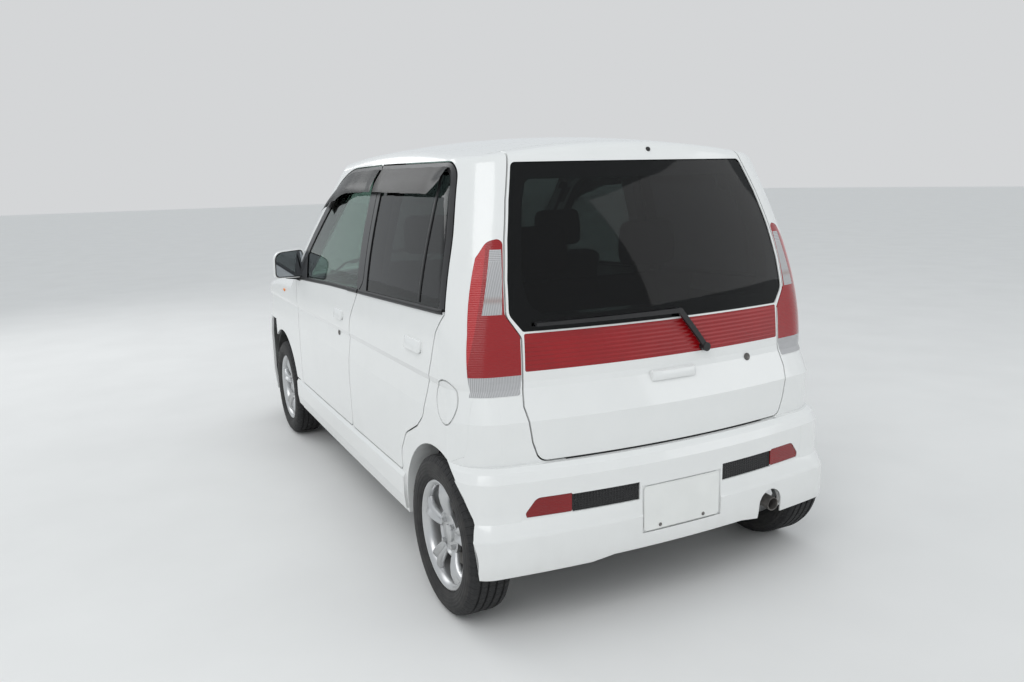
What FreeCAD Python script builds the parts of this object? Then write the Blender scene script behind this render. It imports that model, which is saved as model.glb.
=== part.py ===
import FreeCAD, Part
import math
import os
from FreeCAD import Vector as V

# A small five-door car. Frame: +X to the nose, +Y to the left, +Z up, the origin on the ground
# at the middle of the length and width. All sizes are in millimetres.
#
# The outside is one closed body, body_form(t), that can be made t millimetres smaller all round.
# Every panel is a slice between two of those forms, cut to its own outline, so neighbours keep one
# flowing surface and each has its real thickness.

os.makedirs("parts", exist_ok=True)

# Driving sizes
WHEELBASE = 2360.0
FRONT_AXLE_X = 1020.0
REAR_AXLE_X = FRONT_AXLE_X - WHEELBASE
TRACK = 1305.0
TYRE_RADIUS = 266.0
TYRE_WIDTH = 155.0
HUB_Z = TYRE_RADIUS
KINGPIN_Y = 540.0

# Depths below the outer skin
SKIN = 12.0
ROOF_DEPTH = 22.0
BONNET_DEPTH = 35.0
DOOR_DEPTH = 62.0
REBATE_DEPTH = 70.0
PILLAR_DEPTH = 100.0
GLASS_OUT = 4.0
GLASS_IN = 9.0
LAMP_DEPTH = DOOR_DEPTH

# Clearances
DOOR_GAP = 5.5
SEAT_GAP = 0.3
RUNNING_FIT = 0.05
SEAL_WIDTH = 12.0

# Arches
REAR_ARCH_R = 308.0
FRONT_ARCH_R = 338.0
ARCH_Z = 264.0

# The body form
REAR_BOW = 3000.0
FRONT_BOW = 1500.0
SIDE_BOW = 6.0
EDGE_ROUND = 45.0
# columns: height, rear x, half width, rear corner radius, front x, front corner radius
LOWER_ROWS = [
    (180, -1630, 712, 170, 1610, 240),
    (400, -1640, 723, 160, 1640, 240),
    (690, -1652, 724, 150, 1640, 240),
    (785, -1612, 719, 155, 1630, 240),
    (805, -1608, 725, 155, 1625, 240),
]
UPPER_ROWS = [
    (805, -1608, 725, 155, 1625, 240),
    (957, -1598, 717, 165, 1600, 230),
    (1245, -1530, 665, 180, 1560, 200),
    (1461, -1436, 606, 165, 1500, 180),
    (1620, -1350, 560, 150, 1460, 160),
]
REAR_BUMPER_ROWS = [
    (220, -1676, 731, 120, 1600, 240),
    (248, -1690, 737, 120, 1600, 240),
    (342, -1697.5, 737.5, 120, 1600, 240),
    (354, -1690, 733, 125, 1600, 240),
    (514, -1693, 735, 140, 1600, 240),
    (542, -1682, 729, 150, 1600, 240),
    (556, -1664, 724, 165, 1600, 240),
]
FRONT_BUMPER_ROWS = [
    (200, -1500, 726, 175, 1660, 250),
    (330, -1500, 737.5, 175, 1697.5, 260),
    (560, -1500, 737.5, 172, 1697.5, 260),
    (640, -1500, 731, 172, 1660, 250),
]


def arc(a, b, c):
    return Part.Arc(V(*a), V(*b), V(*c)).toShape()


def line(a, b):
    return Part.makeLine(V(*a), V(*b))


def corner(x_end, bow, half, radius, sign):
    """Centre x of a plan corner circle, and the point where it meets the end's bow."""
    across = half - radius
    reach = math.sqrt((bow - radius) ** 2 - across ** 2)
    bow_x = x_end + sign * bow
    centre_x = bow_x - sign * reach
    scale = bow / (bow - radius)
    return centre_x, (bow_x + (centre_x - bow_x) * scale, across * scale)


def section(row, t):
    """One closed plan section of eight arcs, t inside the row's own size."""
    z, x_rear, half, r_rear, x_front, r_front = row
    x_rear, x_front, half = x_rear + t, x_front - t, half - t
    r_rear = max(r_rear - t, 30)
    r_front = max(r_front - t, 30)
    c_rear, (rx, ry) = corner(x_rear, REAR_BOW - t, half, r_rear, 1)
    c_front, (fx, fy) = corner(x_front, FRONT_BOW - t, half, r_front, -1)

    def middle(cx, cy, px, py, r):
        angle = (math.atan2(py - cy, px - cx) + math.pi / 2) / 2
        return cx + r * math.cos(angle), cy + r * math.sin(angle)

    mr = middle(c_rear, half - r_rear, rx, ry, r_rear)
    mf = middle(c_front, half - r_front, fx, fy, r_front)
    xm = (c_rear + c_front) / 2
    return Part.Wire([
        arc((rx, -ry, z), (x_rear, 0, z), (rx, ry, z)),
        arc((rx, ry, z), (mr[0], mr[1], z), (c_rear, half, z)),
        arc((c_rear, half, z), (xm, half + SIDE_BOW, z), (c_front, half, z)),
        arc((c_front, half, z), (mf[0], mf[1], z), (fx, fy, z)),
        arc((fx, fy, z), (x_front, 0, z), (fx, -fy, z)),
        arc((fx, -fy, z), (mf[0], -mf[1], z), (c_front, -half, z)),
        arc((c_front, -half, z), (xm, -half - SIDE_BOW, z), (c_rear, -half, z)),
        arc((c_rear, -half, z), (mr[0], -mr[1], z), (rx, -ry, z)),
    ])


def loft(rows, t, ruled=True):
    return Part.makeLoft([section(r, t) for r in rows], True, ruled)


def circle_centre(p, q, radius):
    """Centre, below the chord, of the circle through two points of the XZ plane."""
    mx, mz = (p[0] + q[0]) / 2, (p[1] + q[1]) / 2
    dx, dz = q[0] - p[0], q[1] - p[1]
    length = math.hypot(dx, dz)
    height = math.sqrt(radius ** 2 - length ** 2 / 4)
    nx, nz = dz / length, -dx / length
    if nz > 0:
        nx, nz = -nx, -nz
    return mx + nx * height, mz + nz * height


def crowned(cx, cz, radius, crown, half, depth, start, end):
    """A thick sheet bent about a line along Y, its top crowned across the car."""
    drop = crown - math.sqrt(crown ** 2 - half ** 2)
    top = cz + radius
    face = Part.Face(Part.Wire([
        arc((cx, -half, top - drop), (cx, 0, top), (cx, half, top - drop)),
        line((cx, half, top - drop), (cx, half, top - depth)),
        line((cx, half, top - depth), (cx, -half, top - depth)),
        line((cx, -half, top - depth), (cx, -half, top - drop)),
    ]))
    face.rotate(V(cx, 0, cz), V(0, 1, 0), start)
    return face.revolve(V(cx, 0, cz), V(0, 1, 0), end - start)


def roof_form(t):
    return crowned(-600, 1575 - 6500, 6500 - t, 3200 - t, 900, 1900, -22, 25)


def bonnet_form(t):
    cx, cz = circle_centre((720, 958), (1600, 846), 3200)
    return crowned(cx, cz, 3200 - t, 5000 - t, 900, 1500, -25, 40)


def screen_form(t):
    """A large cylinder whose side is the windscreen."""
    p, q = (800, 935), (-41, 1555)
    length = math.hypot(q[0] - p[0], q[1] - p[1])
    ux, uz = (q[0] - p[0]) / length, (q[1] - p[1]) / length
    nx, nz = uz, -ux
    base = V(p[0] - ux * 1500 - nx * 3500, 0, p[1] - uz * 1500 - nz * 3500)
    return Part.makeCylinder(3500 - t, 4500, base, V(ux, 0, uz))


def sharp_edges(shape):
    """The edges above the waist that turn, but not the hollow between bonnet and screen."""
    found = []
    for edge in shape.Edges:
        b = edge.BoundBox
        if b.ZMax < 812:
            continue
        if b.YMax - b.YMin > 1200 and 600 < b.XMin < 900:
            continue
        point = edge.valueAt((edge.FirstParameter + edge.LastParameter) / 2)
        faces = [f for f in shape.Faces if any(e.isSame(edge) for e in f.Edges)]
        if len(faces) < 2:
            continue
        normals = [f.normalAt(*f.Surface.parameter(point)) for f in faces[:2]]
        if abs(normals[0].dot(normals[1])) < 0.985:
            found.append(edge)
    return found


FORMS = {}


def body_form(t):
    """The whole outside of the body, t millimetres smaller all round."""
    if t not in FORMS:
        brick = loft(LOWER_ROWS, t).fuse(loft(UPPER_ROWS, t, False))
        form = brick.common(roof_form(t)).common(screen_form(t).fuse(bonnet_form(t)))
        if t < 20:
            form = form.makeFillet(EDGE_ROUND - t, sharp_edges(form))
        FORMS[t] = form
    return FORMS[t]


def layer(region, outer, inner):
    """The part of a region that lies between two depths below the skin."""
    return body_form(outer).common(region).cut(body_form(inner))


# General shapes
def box(x0, x1, y0, y1, z0, z1):
    return Part.makeBox(x1 - x0, y1 - y0, z1 - z0, V(x0, y0, z0))


def rod(p, q, radius):
    p, q = V(*p), V(*q)
    return Part.makeCylinder(radius, (q - p).Length, p, q - p)


def rounded_wire(corners, place):
    """A closed wire through (u, v, radius) corners; place(u, v) gives the point in space."""
    pts = [V(c[0], c[1], 0) for c in corners]
    n = len(pts)
    starts, ends, mids = [], [], []
    for i in range(n):
        a, b, c = pts[i - 1], pts[i], pts[(i + 1) % n]
        r = corners[i][2] if len(corners[i]) > 2 else 0
        ua, uc = (a - b).normalize(), (c - b).normalize()
        half = math.acos(max(-1, min(1, ua.dot(uc)))) / 2
        if r <= 0 or half > 1.55:
            starts.append(b)
            ends.append(b)
            mids.append(None)
            continue
        cut = r / math.tan(half)
        bisector = (ua + uc).normalize()
        centre = b + bisector * (r / math.sin(half))
        starts.append(b + ua * cut)
        ends.append(b + uc * cut)
        mids.append(centre - bisector * r)

    def at(p):
        return place(p.x, p.y)

    edges = []
    for i in range(n):
        if mids[i] is not None:
            edges.append(Part.Arc(at(starts[i]), at(mids[i]), at(ends[i])).toShape())
        j = (i + 1) % n
        if (starts[j] - ends[i]).Length > 1e-6:
            edges.append(Part.makeLine(at(ends[i]), at(starts[j])))
    return Part.Wire(edges)


def grown(wire, by):
    return wire.makeOffset2D(by, 2) if abs(by) > 1e-9 else wire


def prism_y(corners, y0, y1, grow=0.0, slant=0.0):
    """An XZ outline carried along Y; slant moves x by that much per millimetre of y."""
    wire = grown(rounded_wire(corners, lambda u, v: V(u + slant * y0, y0, v)), grow)
    return Part.Face(wire).extrude(V(slant * (y1 - y0), y1 - y0, 0))


def prism_x(corners, x0, x1, grow=0.0):
    """A YZ outline carried along X."""
    wire = grown(rounded_wire(corners, lambda u, v: V(x0, u, v)), grow)
    return Part.Face(wire).extrude(V(x1 - x0, 0, 0))


def prism_z(corners, z0, z1, grow=0.0):
    """An XY outline carried along Z."""
    wire = grown(rounded_wire(corners, lambda u, v: V(u, v, z0)), grow)
    return Part.Face(wire).extrude(V(0, 0, z1 - z0))


def mirrored(shape):
    return shape.mirror(V(0, 0, 0), V(0, 1, 0))


def both(shape):
    return [shape, mirrored(shape)]


def symmetric(corners):
    """Adds the mirror image of a half outline given from bottom to top on the left side."""
    return corners + [(-c[0],) + tuple(c[1:]) for c in reversed(corners)]


def rounded_box(x0, x1, y0, y1, z0, z1, radius):
    solid = box(x0, x1, y0, y1, z0, z1)
    return solid.makeFillet(radius, solid.Edges)


def save(node, *shapes, least=50):
    """Writes one node of one or more closed solids, without chips smaller than least."""
    solids = []
    for shape in shapes:
        solids += shape.Solids
    solids = [s for s in solids if s.Volume > least]
    result = solids[0] if len(solids) == 1 else Part.makeCompound(solids)
    result.exportStep("parts/" + node + ".step")
    b = result.BoundBox
    valid = all(s.isValid() for s in solids)
    print("%-22s solids %d valid %s  x %.0f %.0f  y %.0f %.0f  z %.0f %.0f" % (
        node, len(solids), valid, b.XMin, b.XMax, b.YMin, b.YMax, b.ZMin, b.ZMax))


# Outlines
# Door edges are cut at a slant, so that the rear edge of a door leaves its opening along its swing.
SLANT = -0.17


def on_skin(corners):
    """Shifts outline corners so that a slanted cut passes the skin at the given x."""
    widths = [(235, 716), (400, 725), (805, 727), (957, 719), (1245, 667), (1461, 608), (1620, 562)]
    shifted = []
    for c in corners:
        for (z0, w0), (z1, w1) in zip(widths, widths[1:]):
            if z0 <= c[1] <= z1:
                w = w0 + (w1 - w0) * (c[1] - z0) / (z1 - z0)
        shifted.append((c[0] - SLANT * w,) + tuple(c[1:]))
    return shifted


# The outlines are the middles of the gaps; a door is half a gap smaller and its opening half a gap
# larger. Corners: x, z, radius.
DOOR_BOTTOM = 391.0
FRONT_SEAM_X = 570.0
MIDDLE_SEAM = [
    (-374, DOOR_BOTTOM, 25), (-364, 640, 400), (-425, 868, 120), (-530, 985, 50), (-596, 1033, 60),
    (-596, 1480, 14),
]
FRONT_DOOR = [
    (FRONT_SEAM_X, DOOR_BOTTOM, 30), (FRONT_SEAM_X, 950, 30), (-95, 1474, 540),
] + MIDDLE_SEAM[::-1]
REAR_DOOR = MIDDLE_SEAM + [
    (-1302, 1473, 75), (-1383, 1242, 500), (-1416, 1011, 15), (-1368, 950, 60), (-1338, 860, 100),
    (-1288, 750, 60), (-1238, 648, 80), (-1180, 602, 60), (-1060, 545, 80), (-1003, 465, 60),
    (-1010, DOOR_BOTTOM, 20),
]
FRONT_WINDOW = [(512, 945, 20), (-136, 1450, 440), (-520, 1452, 14), (-520, 993, 8)]
REAR_WINDOW = [(-640, 999, 8), (-640, 1452, 14), (-1282, 1446, 60), (-1352, 1242, 500), (-1384, 1022, 20)]
# The openings through the inner layer of the side, inside the door rebates
FRONT_APERTURE = [
    (486, 440), (530, 484), (530, 930, 30), (-115, 1414, 350), (-552, 1436, 40), (-548, 1050, 60),
    (-385, 868, 120), (-322, 700, 100), (-322, 482), (-280, 440),
]
REAR_APERTURE = [
    (-456, 440), (-414, 484), (-420, 700, 200), (-600, 985, 60), (-640, 1436, 40), (-1262, 1430, 60),
    (-1338, 1235, 400), (-1368, 1040, 30), (-1255, 790, 80), (-975, 585, 90), (-955, 474), (-923, 440),
]
# The tailgate seen from behind: y, z, radius, for the left half from bottom to top
TAILGATE = [
    (484, 562, 36), (505, 624, 0), (514, 680, 20), (523, 735, 20), (513, 800, 15), (510, 940, 25),
    (553, 1008, 40), (545, 1116, 0), (526, 1233, 0), (498, 1351, 0), (466, 1457, 0), (440, 1560, 0),
]
TAILGATE_GLASS = [
    (506, 958, 12), (546, 1011, 40), (538, 1116, 0), (519, 1233, 0), (491, 1351, 0), (462, 1448, 0),
    (456, 1466, 20),
]
TAILGATE_WINDOW = [
    (430, 1000, 30), (478, 1040, 40), (490, 1116, 0), (472, 1233, 0), (446, 1340, 0), (420, 1412, 30),
]
GARNISH = [(507, 836, 6), (504, 952, 6)]
TAIL_LAMP = [
    (530, 768, 8), (520, 815, 0), (517, 945, 20), (560, 1012, 40), (552, 1116, 0), (533, 1241, 15),
    (580, 1230, 40), (640, 1150, 0), (700, 1100, 0), (800, 1100, 0), (800, 768, 0),
]
TAIL_LAMP_FRONT = [
    (-1800, 700), (-1524, 700), (-1508, 829), (-1497, 960), (-1462, 1190), (-1452, 1300), (-1800, 1300),
]
BUMPER_CORNER = [
    (-1526, 766), (-1538, 683), (-1531, 619), (-1518, 585), (-1458, 556), (-1458, 200),
    (-1800, 200), (-1800, 766),
]
WINDSCREEN = [(677, 880, 0), (547, 1490, 40)]
WINDSCREEN_FOOT = (752.0, 970.4)
SCREEN_SLOPE = (-0.805, 0.593)
HINGE_Y = 737.0
ROOF_HALF = 505.0
TAIL_PANEL_Z = 345.0
DOOR_INNER_Y = 541.0
HATCH_X = -1330.0
GATE_FLANGE = 24.0
BONNET_X = 830.0
BONNET_HALF = 595.0
BONNET_FRONT_Z = 798.0
FENDER_TOP = [(575.5, 391), (575.5, 946), (690, 926), (800, 1200), (1700, 1200), (1700, 391)]


# Side frames
def wheel_well(x, radius, y0, y1):
    return rod((x, y0, ARCH_Z), (x, y1, ARCH_Z), radius)


def tailgate_cut(corners, grow):
    return prism_x(symmetric(corners), -1800, HATCH_X + grow, grow)


def lamp_region(grow):
    """The tail lamp outline from behind, ended on the side by a leaning front edge."""
    return prism_x(TAIL_LAMP, -1800, -1400, grow).common(prism_y(TAIL_LAMP_FRONT, 300, 800, grow))


def screen_region(grow):
    """The windscreen outline, its lower edge square to the glass."""
    (x, z), (ux, uz) = WINDSCREEN_FOOT, SCREEN_SLOPE
    nx, nz = uz, -ux
    x, z = x - ux * grow, z - uz * grow
    low = (x - nx * 200, z - nz * 200)
    high = (x + nx * 300, z + nz * 300)
    plan = [low, high, (high[0] + ux * 1500, high[1] + uz * 1500), (low[0] + ux * 1500, low[1] + uz * 1500)]
    return prism_x(symmetric(WINDSCREEN), -60, 900, grow).common(prism_y(plan, -700, 700))


def corner_region(grow):
    """The part of the rear bumper that climbs the body's corner to the lamp."""
    return prism_y(BUMPER_CORNER, 400, 900, grow)


front_door_cut = prism_y(on_skin(FRONT_DOOR), 0, 900, DOOR_GAP / 2, SLANT)
rear_door_cut = prism_y(on_skin(REAR_DOOR), 0, 900, DOOR_GAP / 2, SLANT)
# Each opening has a raised sealing band, which the inside of the closed door rests against
seal_bands = [prism_y(outline, 300, 900, SEAL_WIDTH) for outline in (FRONT_APERTURE, REAR_APERTURE)]
seal_bands = seal_bands[0].fuse(seal_bands[1]).common(body_form(DOOR_DEPTH + SEAT_GAP))
outer_cut = front_door_cut.fuse(rear_door_cut).common(box(-1600, 700, 300, 900, 200, 1600))
outer_cut = outer_cut.cut(body_form(REBATE_DEPTH)).cut(seal_bands)
inner_cut = prism_y(FRONT_APERTURE, 300, 900).fuse(prism_y(REAR_APERTURE, 300, 900))
windscreen_cut = screen_region(0)
side_region = box(-1800, 640, ROOF_HALF, 900, 235, 1700).fuse(box(-1800, HATCH_X, 400, 900, 235, 1700))
side_region = side_region.fuse(box(630, 712, ROOF_HALF, 900, 930, 1100))
fender_region = prism_y(FENDER_TOP, 500, 900)

side = layer(side_region, 0, PILLAR_DEPTH)
side = side.cut(outer_cut).cut(inner_cut)
side = side.cut(windscreen_cut).cut(tailgate_cut(TAILGATE, DOOR_GAP).cut(body_form(DOOR_DEPTH + SEAT_GAP)))
side = side.cut(tailgate_cut(TAILGATE, -GATE_FLANGE))
side = side.cut(lamp_region(SEAT_GAP).cut(body_form(LAMP_DEPTH + SEAT_GAP)))
side = side.cut(wheel_well(REAR_AXLE_X, REAR_ARCH_R, 480, 900))
side = side.cut(box(-1800, -1480, 300, 560, 200, TAIL_PANEL_Z))
side = side.cut(fender_region.fuse(corner_region(SEAT_GAP)).cut(body_form(SKIN + SEAT_GAP)))
LID_CENTRE = V(-1430, 719, 740)
LID_NORMAL = V(-0.15, 0.9887, 0)
LID_HALF_WIDTH = 65.0
LID_HALF_HEIGHT = 73.0
LID_LEDGE = 20.0


def lid_prism(grow):
    ellipse = Part.Ellipse(V(0, 0, 0), LID_HALF_HEIGHT + grow, LID_HALF_WIDTH + grow).toShape()
    ellipse.rotate(V(0, 0, 0), V(0, 0, 1), 90)
    solid = Part.Face(Part.Wire([ellipse])).extrude(V(0, 0, 120))
    z_axis = LID_NORMAL
    x_axis = V(z_axis.y, -z_axis.x, 0)
    turn = FreeCAD.Rotation(x_axis, V(0, 0, 1), z_axis, "ZXY")
    solid.Placement = FreeCAD.Placement(LID_CENTRE - z_axis * 60, turn)
    return solid


lid_pocket = lid_prism(0).cut(body_form(SKIN + SEAT_GAP))
lid_pocket = lid_pocket.fuse(lid_prism(-LID_LEDGE).cut(body_form(ROOF_DEPTH)))
side_left = side.cut(lid_pocket)
save("side_frame_left", side_left, least=1e6)
save("side_frame_right", mirrored(side), least=1e6)
lid = layer(lid_prism(-DOOR_GAP), 0, SKIN)
save("fuel_lid", lid)

# Doors
# The wedge between a front door's own thickness and the windscreen, left off the doors: y, z
SCREEN_WEDGE = [(480, 850), (648, 850), (648, 957), (601, 1245), (553, 1420), (480, 1420)]
screen_wedge = prism_x(SCREEN_WEDGE, 40, 700)
for name, outline, window in (
        ("front", FRONT_DOOR, FRONT_WINDOW),
        ("rear", REAR_DOOR, REAR_WINDOW)):
    cutter = prism_y(on_skin(outline), 0, 900, -DOOR_GAP / 2, SLANT)
    cutter = cutter.common(box(-1600, 700, DOOR_INNER_Y, 900, 200, 1600)).cut(screen_wedge)
    cutter = cutter.cut(prism_y(window, 300, 900))
    panel = layer(cutter, 0, DOOR_DEPTH)
    pane = layer(prism_y(window, 500, 900, -SEAT_GAP), GLASS_OUT, GLASS_IN)
    save("door_%s_left" % name, panel)
    save("door_%s_right" % name, mirrored(panel))
    save("window_%s_left" % name, pane)
    save("window_%s_right" % name, mirrored(pane))

# Roof, windscreen, tailgate
roof_half = ROOF_HALF - SEAT_GAP
roof = box(HATCH_X + DOOR_GAP, 300, -roof_half, roof_half, 1480, 1700).cut(windscreen_cut)
roof = layer(roof, 0, ROOF_DEPTH)
save("roof_panel", roof)

screen = layer(screen_region(-SEAT_GAP), GLASS_OUT, GLASS_IN)
save("windscreen", screen)

GATE_STEP = 8.0
gate_window = prism_x(symmetric(TAILGATE_WINDOW), -1800, -1200)
gate = layer(tailgate_cut(TAILGATE, 0).cut(gate_window), 0, ROOF_DEPTH)
gate = gate.fuse(layer(tailgate_cut(TAILGATE, -GATE_STEP).cut(gate_window), ROOF_DEPTH, DOOR_DEPTH))
gate = gate.common(box(-1800, HATCH_X, -700, 700, 562, 1700))
gate_trim = prism_x(symmetric(TAILGATE_GLASS), -1800, -1200, SEAT_GAP)
gate_trim = gate_trim.fuse(prism_x(symmetric(GARNISH), -1800, -1200, SEAT_GAP))
gate = gate.cut(gate_trim.cut(body_form(GLASS_IN + SEAT_GAP)))
save("tailgate", gate)
gate_glass = layer(prism_x(symmetric(TAILGATE_GLASS), -1800, -1200), GLASS_OUT, GLASS_IN)
save("tailgate_glass", gate_glass)
garnish = layer(prism_x(symmetric(GARNISH), -1800, -1200), 0, GLASS_IN)
save("tailgate_garnish", garnish)

# Lamps
lamp = layer(lamp_region(0), 0, LAMP_DEPTH)
save("tail_lamps", *both(lamp))

# Front
HEADLAMP_Z = (652.0, 792.0)
HEADLAMP_X = 1440.0
HEADLAMP_Y = 380.0
headlamp_region = box(HEADLAMP_X, 1800, HEADLAMP_Y, 800, HEADLAMP_Z[0], HEADLAMP_Z[1])
headlamp = layer(headlamp_region, 0, LAMP_DEPTH)
save("headlamps", *both(headlamp))

bonnet_hole = box(BONNET_X - DOOR_GAP, 1800, -BONNET_HALF - DOOR_GAP, BONNET_HALF + DOOR_GAP, 790, 1200)
lamp_hole = box(HEADLAMP_X - SEAT_GAP, 1800, 300, 900, HEADLAMP_Z[0] - 50, HEADLAMP_Z[1] + SEAT_GAP)
below_lamp = box(1200, 1800, 300, 900, 200, 645)
fender = fender_region.common(box(575.5, 1500, 600.5, 900, 391, 1200))
fender = fender.fuse(box(1490, 1800, 560, 900, 655, 1200))
fender = fender.cut([bonnet_hole, lamp_hole, below_lamp, wheel_well(FRONT_AXLE_X, FRONT_ARCH_R, 300, 900)])
fender = layer(fender, 0, SKIN).cut(screen_region(SEAT_GAP))
save("front_fenders", *both(fender))

bonnet = layer(box(BONNET_X, 1800, -BONNET_HALF, BONNET_HALF, BONNET_FRONT_Z, 1200), 0, BONNET_DEPTH)
save("bonnet", bonnet)

cowl = layer(box(600, BONNET_X - DOOR_GAP, -600, 600, 850, 1100), GLASS_OUT, ROOF_DEPTH)
cowl = cowl.cut(screen_region(SEAT_GAP))
save("cowl_panel", cowl)

front_bumper = loft(FRONT_BUMPER_ROWS, 0).cut(loft(FRONT_BUMPER_ROWS, SKIN))
front_bumper = front_bumper.common(box(1300, 1800, -800, 800, 150, 640))
save("front_bumper", front_bumper)

# Rear bumper
PLATE_BAY = (-1684.0, 160.0, 282.0, 442.0)
LIP_RAISED = [(-340, 200), (-340, 219), (-262, 232), (262, 232), (340, 219), (340, 200)]
REFLECTOR = [(405, 400, 4), (405, 461, 4), (520, 461, 30), (556, 415, 10), (552, 400, 4)]
INSERT_INNER = 168.0
PIPE_Y = -400.0
NOTCH_Z = 262.0
NOTCH_R = 56.0
INSERT = [(-405, 398), (-405, 457), (405, 457), (405, 398)]
bumper_out = loft(REAR_BUMPER_ROWS, 0)
bumper_in = loft(REAR_BUMPER_ROWS, SKIN).common(box(-1800, 0, -800, 800, 200, 546))
rear_bumper = bumper_out.cut(bumper_in).common(box(-1800, -1340, -800, 800, 150, 700))
rear_bumper = rear_bumper.cut(wheel_well(REAR_AXLE_X, REAR_ARCH_R, -900, 900))
rear_bumper = rear_bumper.cut(body_form(0).common(box(-1800, -1300, -900, 900, 400, 600)))
rear_corner = corner_region(0).common(box(-1800, -1400, 400, 900, 540, 800))
rear_corner = layer(rear_corner.cut(tailgate_cut(TAILGATE, DOOR_GAP)), 0, SKIN)
rear_bumper = rear_bumper.fuse(both(rear_corner))
insert_cut = prism_x(INSERT, -1800, -1500).fuse(both(prism_x(REFLECTOR, -1800, -1500)))
insert_cut = insert_cut.cut(box(-1800, -1500, -INSERT_INNER, INSERT_INNER, 300, 500))
bay_x, bay_half, bay_low, bay_top = PLATE_BAY
plate_bay = box(-1800, bay_x, -bay_half, bay_half, bay_low, bay_top)
rear_bumper = rear_bumper.cut([insert_cut, plate_bay, prism_x(LIP_RAISED, -1800, -1340)])
pipe_notch = rod((-1800, PIPE_Y, NOTCH_Z), (-1550, PIPE_Y, NOTCH_Z), NOTCH_R)
pipe_notch = pipe_notch.fuse(box(-1800, -1550, PIPE_Y - NOTCH_R, PIPE_Y + NOTCH_R, 200, NOTCH_Z))
rear_bumper = rear_bumper.cut(pipe_notch)
save("rear_bumper", rear_bumper, least=1000)
insert_inner = INSERT_INNER + SEAT_GAP
insert_middle = box(-1800, -1500, -insert_inner, insert_inner, 300, 500)
insert = loft(REAR_BUMPER_ROWS, SKIN * 0.5).cut(loft(REAR_BUMPER_ROWS, SKIN)).common(
    prism_x(INSERT, -1800, -1500, -SEAT_GAP).cut(insert_middle))
reflector = loft(REAR_BUMPER_ROWS, SKIN * 0.25).cut(loft(REAR_BUMPER_ROWS, SKIN)).common(
    prism_x(REFLECTOR, -1800, -1500, -SEAT_GAP))
save("bumper_insert", insert.cut(both(prism_x(REFLECTOR, -1800, -1500, 1))))
save("reflectors", *both(reflector))

SKIRT_X = (-1030.0, 684.0)
SKIRT_Z = (252.0, 386.0)
skirt_rows = [(SKIRT_Z[0], -1640, 731, 170, 1640, 240), (300, -1640, 737.5, 170, 1640, 240),
              (372, -1640, 737.5, 170, 1640, 240), (SKIRT_Z[1], -1640, 729, 170, 1640, 240)]
skirt = loft(skirt_rows, SIDE_BOW).cut(body_form(0)).common(box(*SKIRT_X, 600, 800, *SKIRT_Z))
skirt = skirt.cut(wheel_well(FRONT_AXLE_X, FRONT_ARCH_R, 300, 900))
skirt = skirt.cut(wheel_well(REAR_AXLE_X, REAR_ARCH_R, 300, 900))
save("side_skirts", *both(skirt), least=1000)

# Underbody
FLOOR_Z = (205.0, 230.0)
REAR_FLOOR_Z = (400.0, 420.0)
FIREWALL_X = (645.0, 665.0)
APRON_Y = (394.0, 406.0)
WHEELHOUSE_WALL = 10.0
REAR_HOUSE_Y = 480.0
STRUT_TOWER_R = 78.0
ENGINE_BOX = (830.0, 1230.0, -370.0, 370.0, 262.3, 720.0)

inner_form = body_form(PILLAR_DEPTH)
floor = box(-620, FIREWALL_X[0], -640, 640, *FLOOR_Z)
floor = floor.fuse([
    box(-640, -620, -640, 640, 205, 420),
    box(-1600, -620, -640, 640, *REAR_FLOOR_Z),
])
house_r = REAR_ARCH_R + WHEELHOUSE_WALL
floor = floor.cut(both(wheel_well(REAR_AXLE_X, house_r + SEAT_GAP, REAR_HOUSE_Y - SEAT_GAP, 700)))
floor = floor.common(inner_form)
rear_house = wheel_well(REAR_AXLE_X, house_r, REAR_HOUSE_Y, 700)
rear_house = rear_house.cut(wheel_well(REAR_AXLE_X, REAR_ARCH_R, REAR_HOUSE_Y + WHEELHOUSE_WALL, 710))
rear_house = rear_house.common(box(-1700, -1000, 470, 700, 300, 700)).common(inner_form)
save("rear_wheelhouses", *both(rear_house))

front_house = wheel_well(FRONT_AXLE_X, FRONT_ARCH_R + WHEELHOUSE_WALL, APRON_Y[0], 705)
front_house = front_house.cut(wheel_well(FRONT_AXLE_X, FRONT_ARCH_R, APRON_Y[1], 715))
front_house = front_house.common(box(600, 1400, 300, 710, 300, 700))
tower = rod((FRONT_AXLE_X, KINGPIN_Y, 560), (FRONT_AXLE_X, KINGPIN_Y, 800), STRUT_TOWER_R)
tower_hollow = rod((FRONT_AXLE_X, KINGPIN_Y, 500), (FRONT_AXLE_X, KINGPIN_Y, 790), STRUT_TOWER_R - 10)
front_house = front_house.fuse(tower.cut(wheel_well(FRONT_AXLE_X, FRONT_ARCH_R, 300, 715)))
bonnet_rest = body_form(BONNET_DEPTH).translated(V(0, 0, -SEAT_GAP))
apron = box(660, 1490, APRON_Y[0], APRON_Y[1], 330, 900).common(bonnet_rest)
front_house = front_house.fuse(apron).cut(tower_hollow)
front_part = box(FIREWALL_X[0], FIREWALL_X[1], -705, 705, 205, 905).fuse(both(front_house))
front_part = front_part.fuse([
    box(660, 1490, 290, 350, 215, 262),
    box(660, 1490, -350, -290, 215, 262),
    box(1470, 1490, -APRON_Y[1], APRON_Y[1], 215, 780),
    box(1485, 1560, 290, 350, 430, 510),
    box(1485, 1560, -350, -290, 430, 510),
    box(1550, 1582, -500, 500, 430, 510),
])
bumper_mounts = both(box(1550, 1720, 290, 350, 440, 500))
bumper_mounts = [mount.common(loft(FRONT_BUMPER_ROWS, SKIN + SEAT_GAP)) for mount in bumper_mounts]
front_part = front_part.cut(box(1440, 1480, -320, 320, 300, 700))
front_part = front_part.common(body_form(ROOF_DEPTH).fuse(box(1500, 1640, -520, 520, 300, 600)))
save("engine_bay", front_part.fuse(bumper_mounts))
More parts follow.
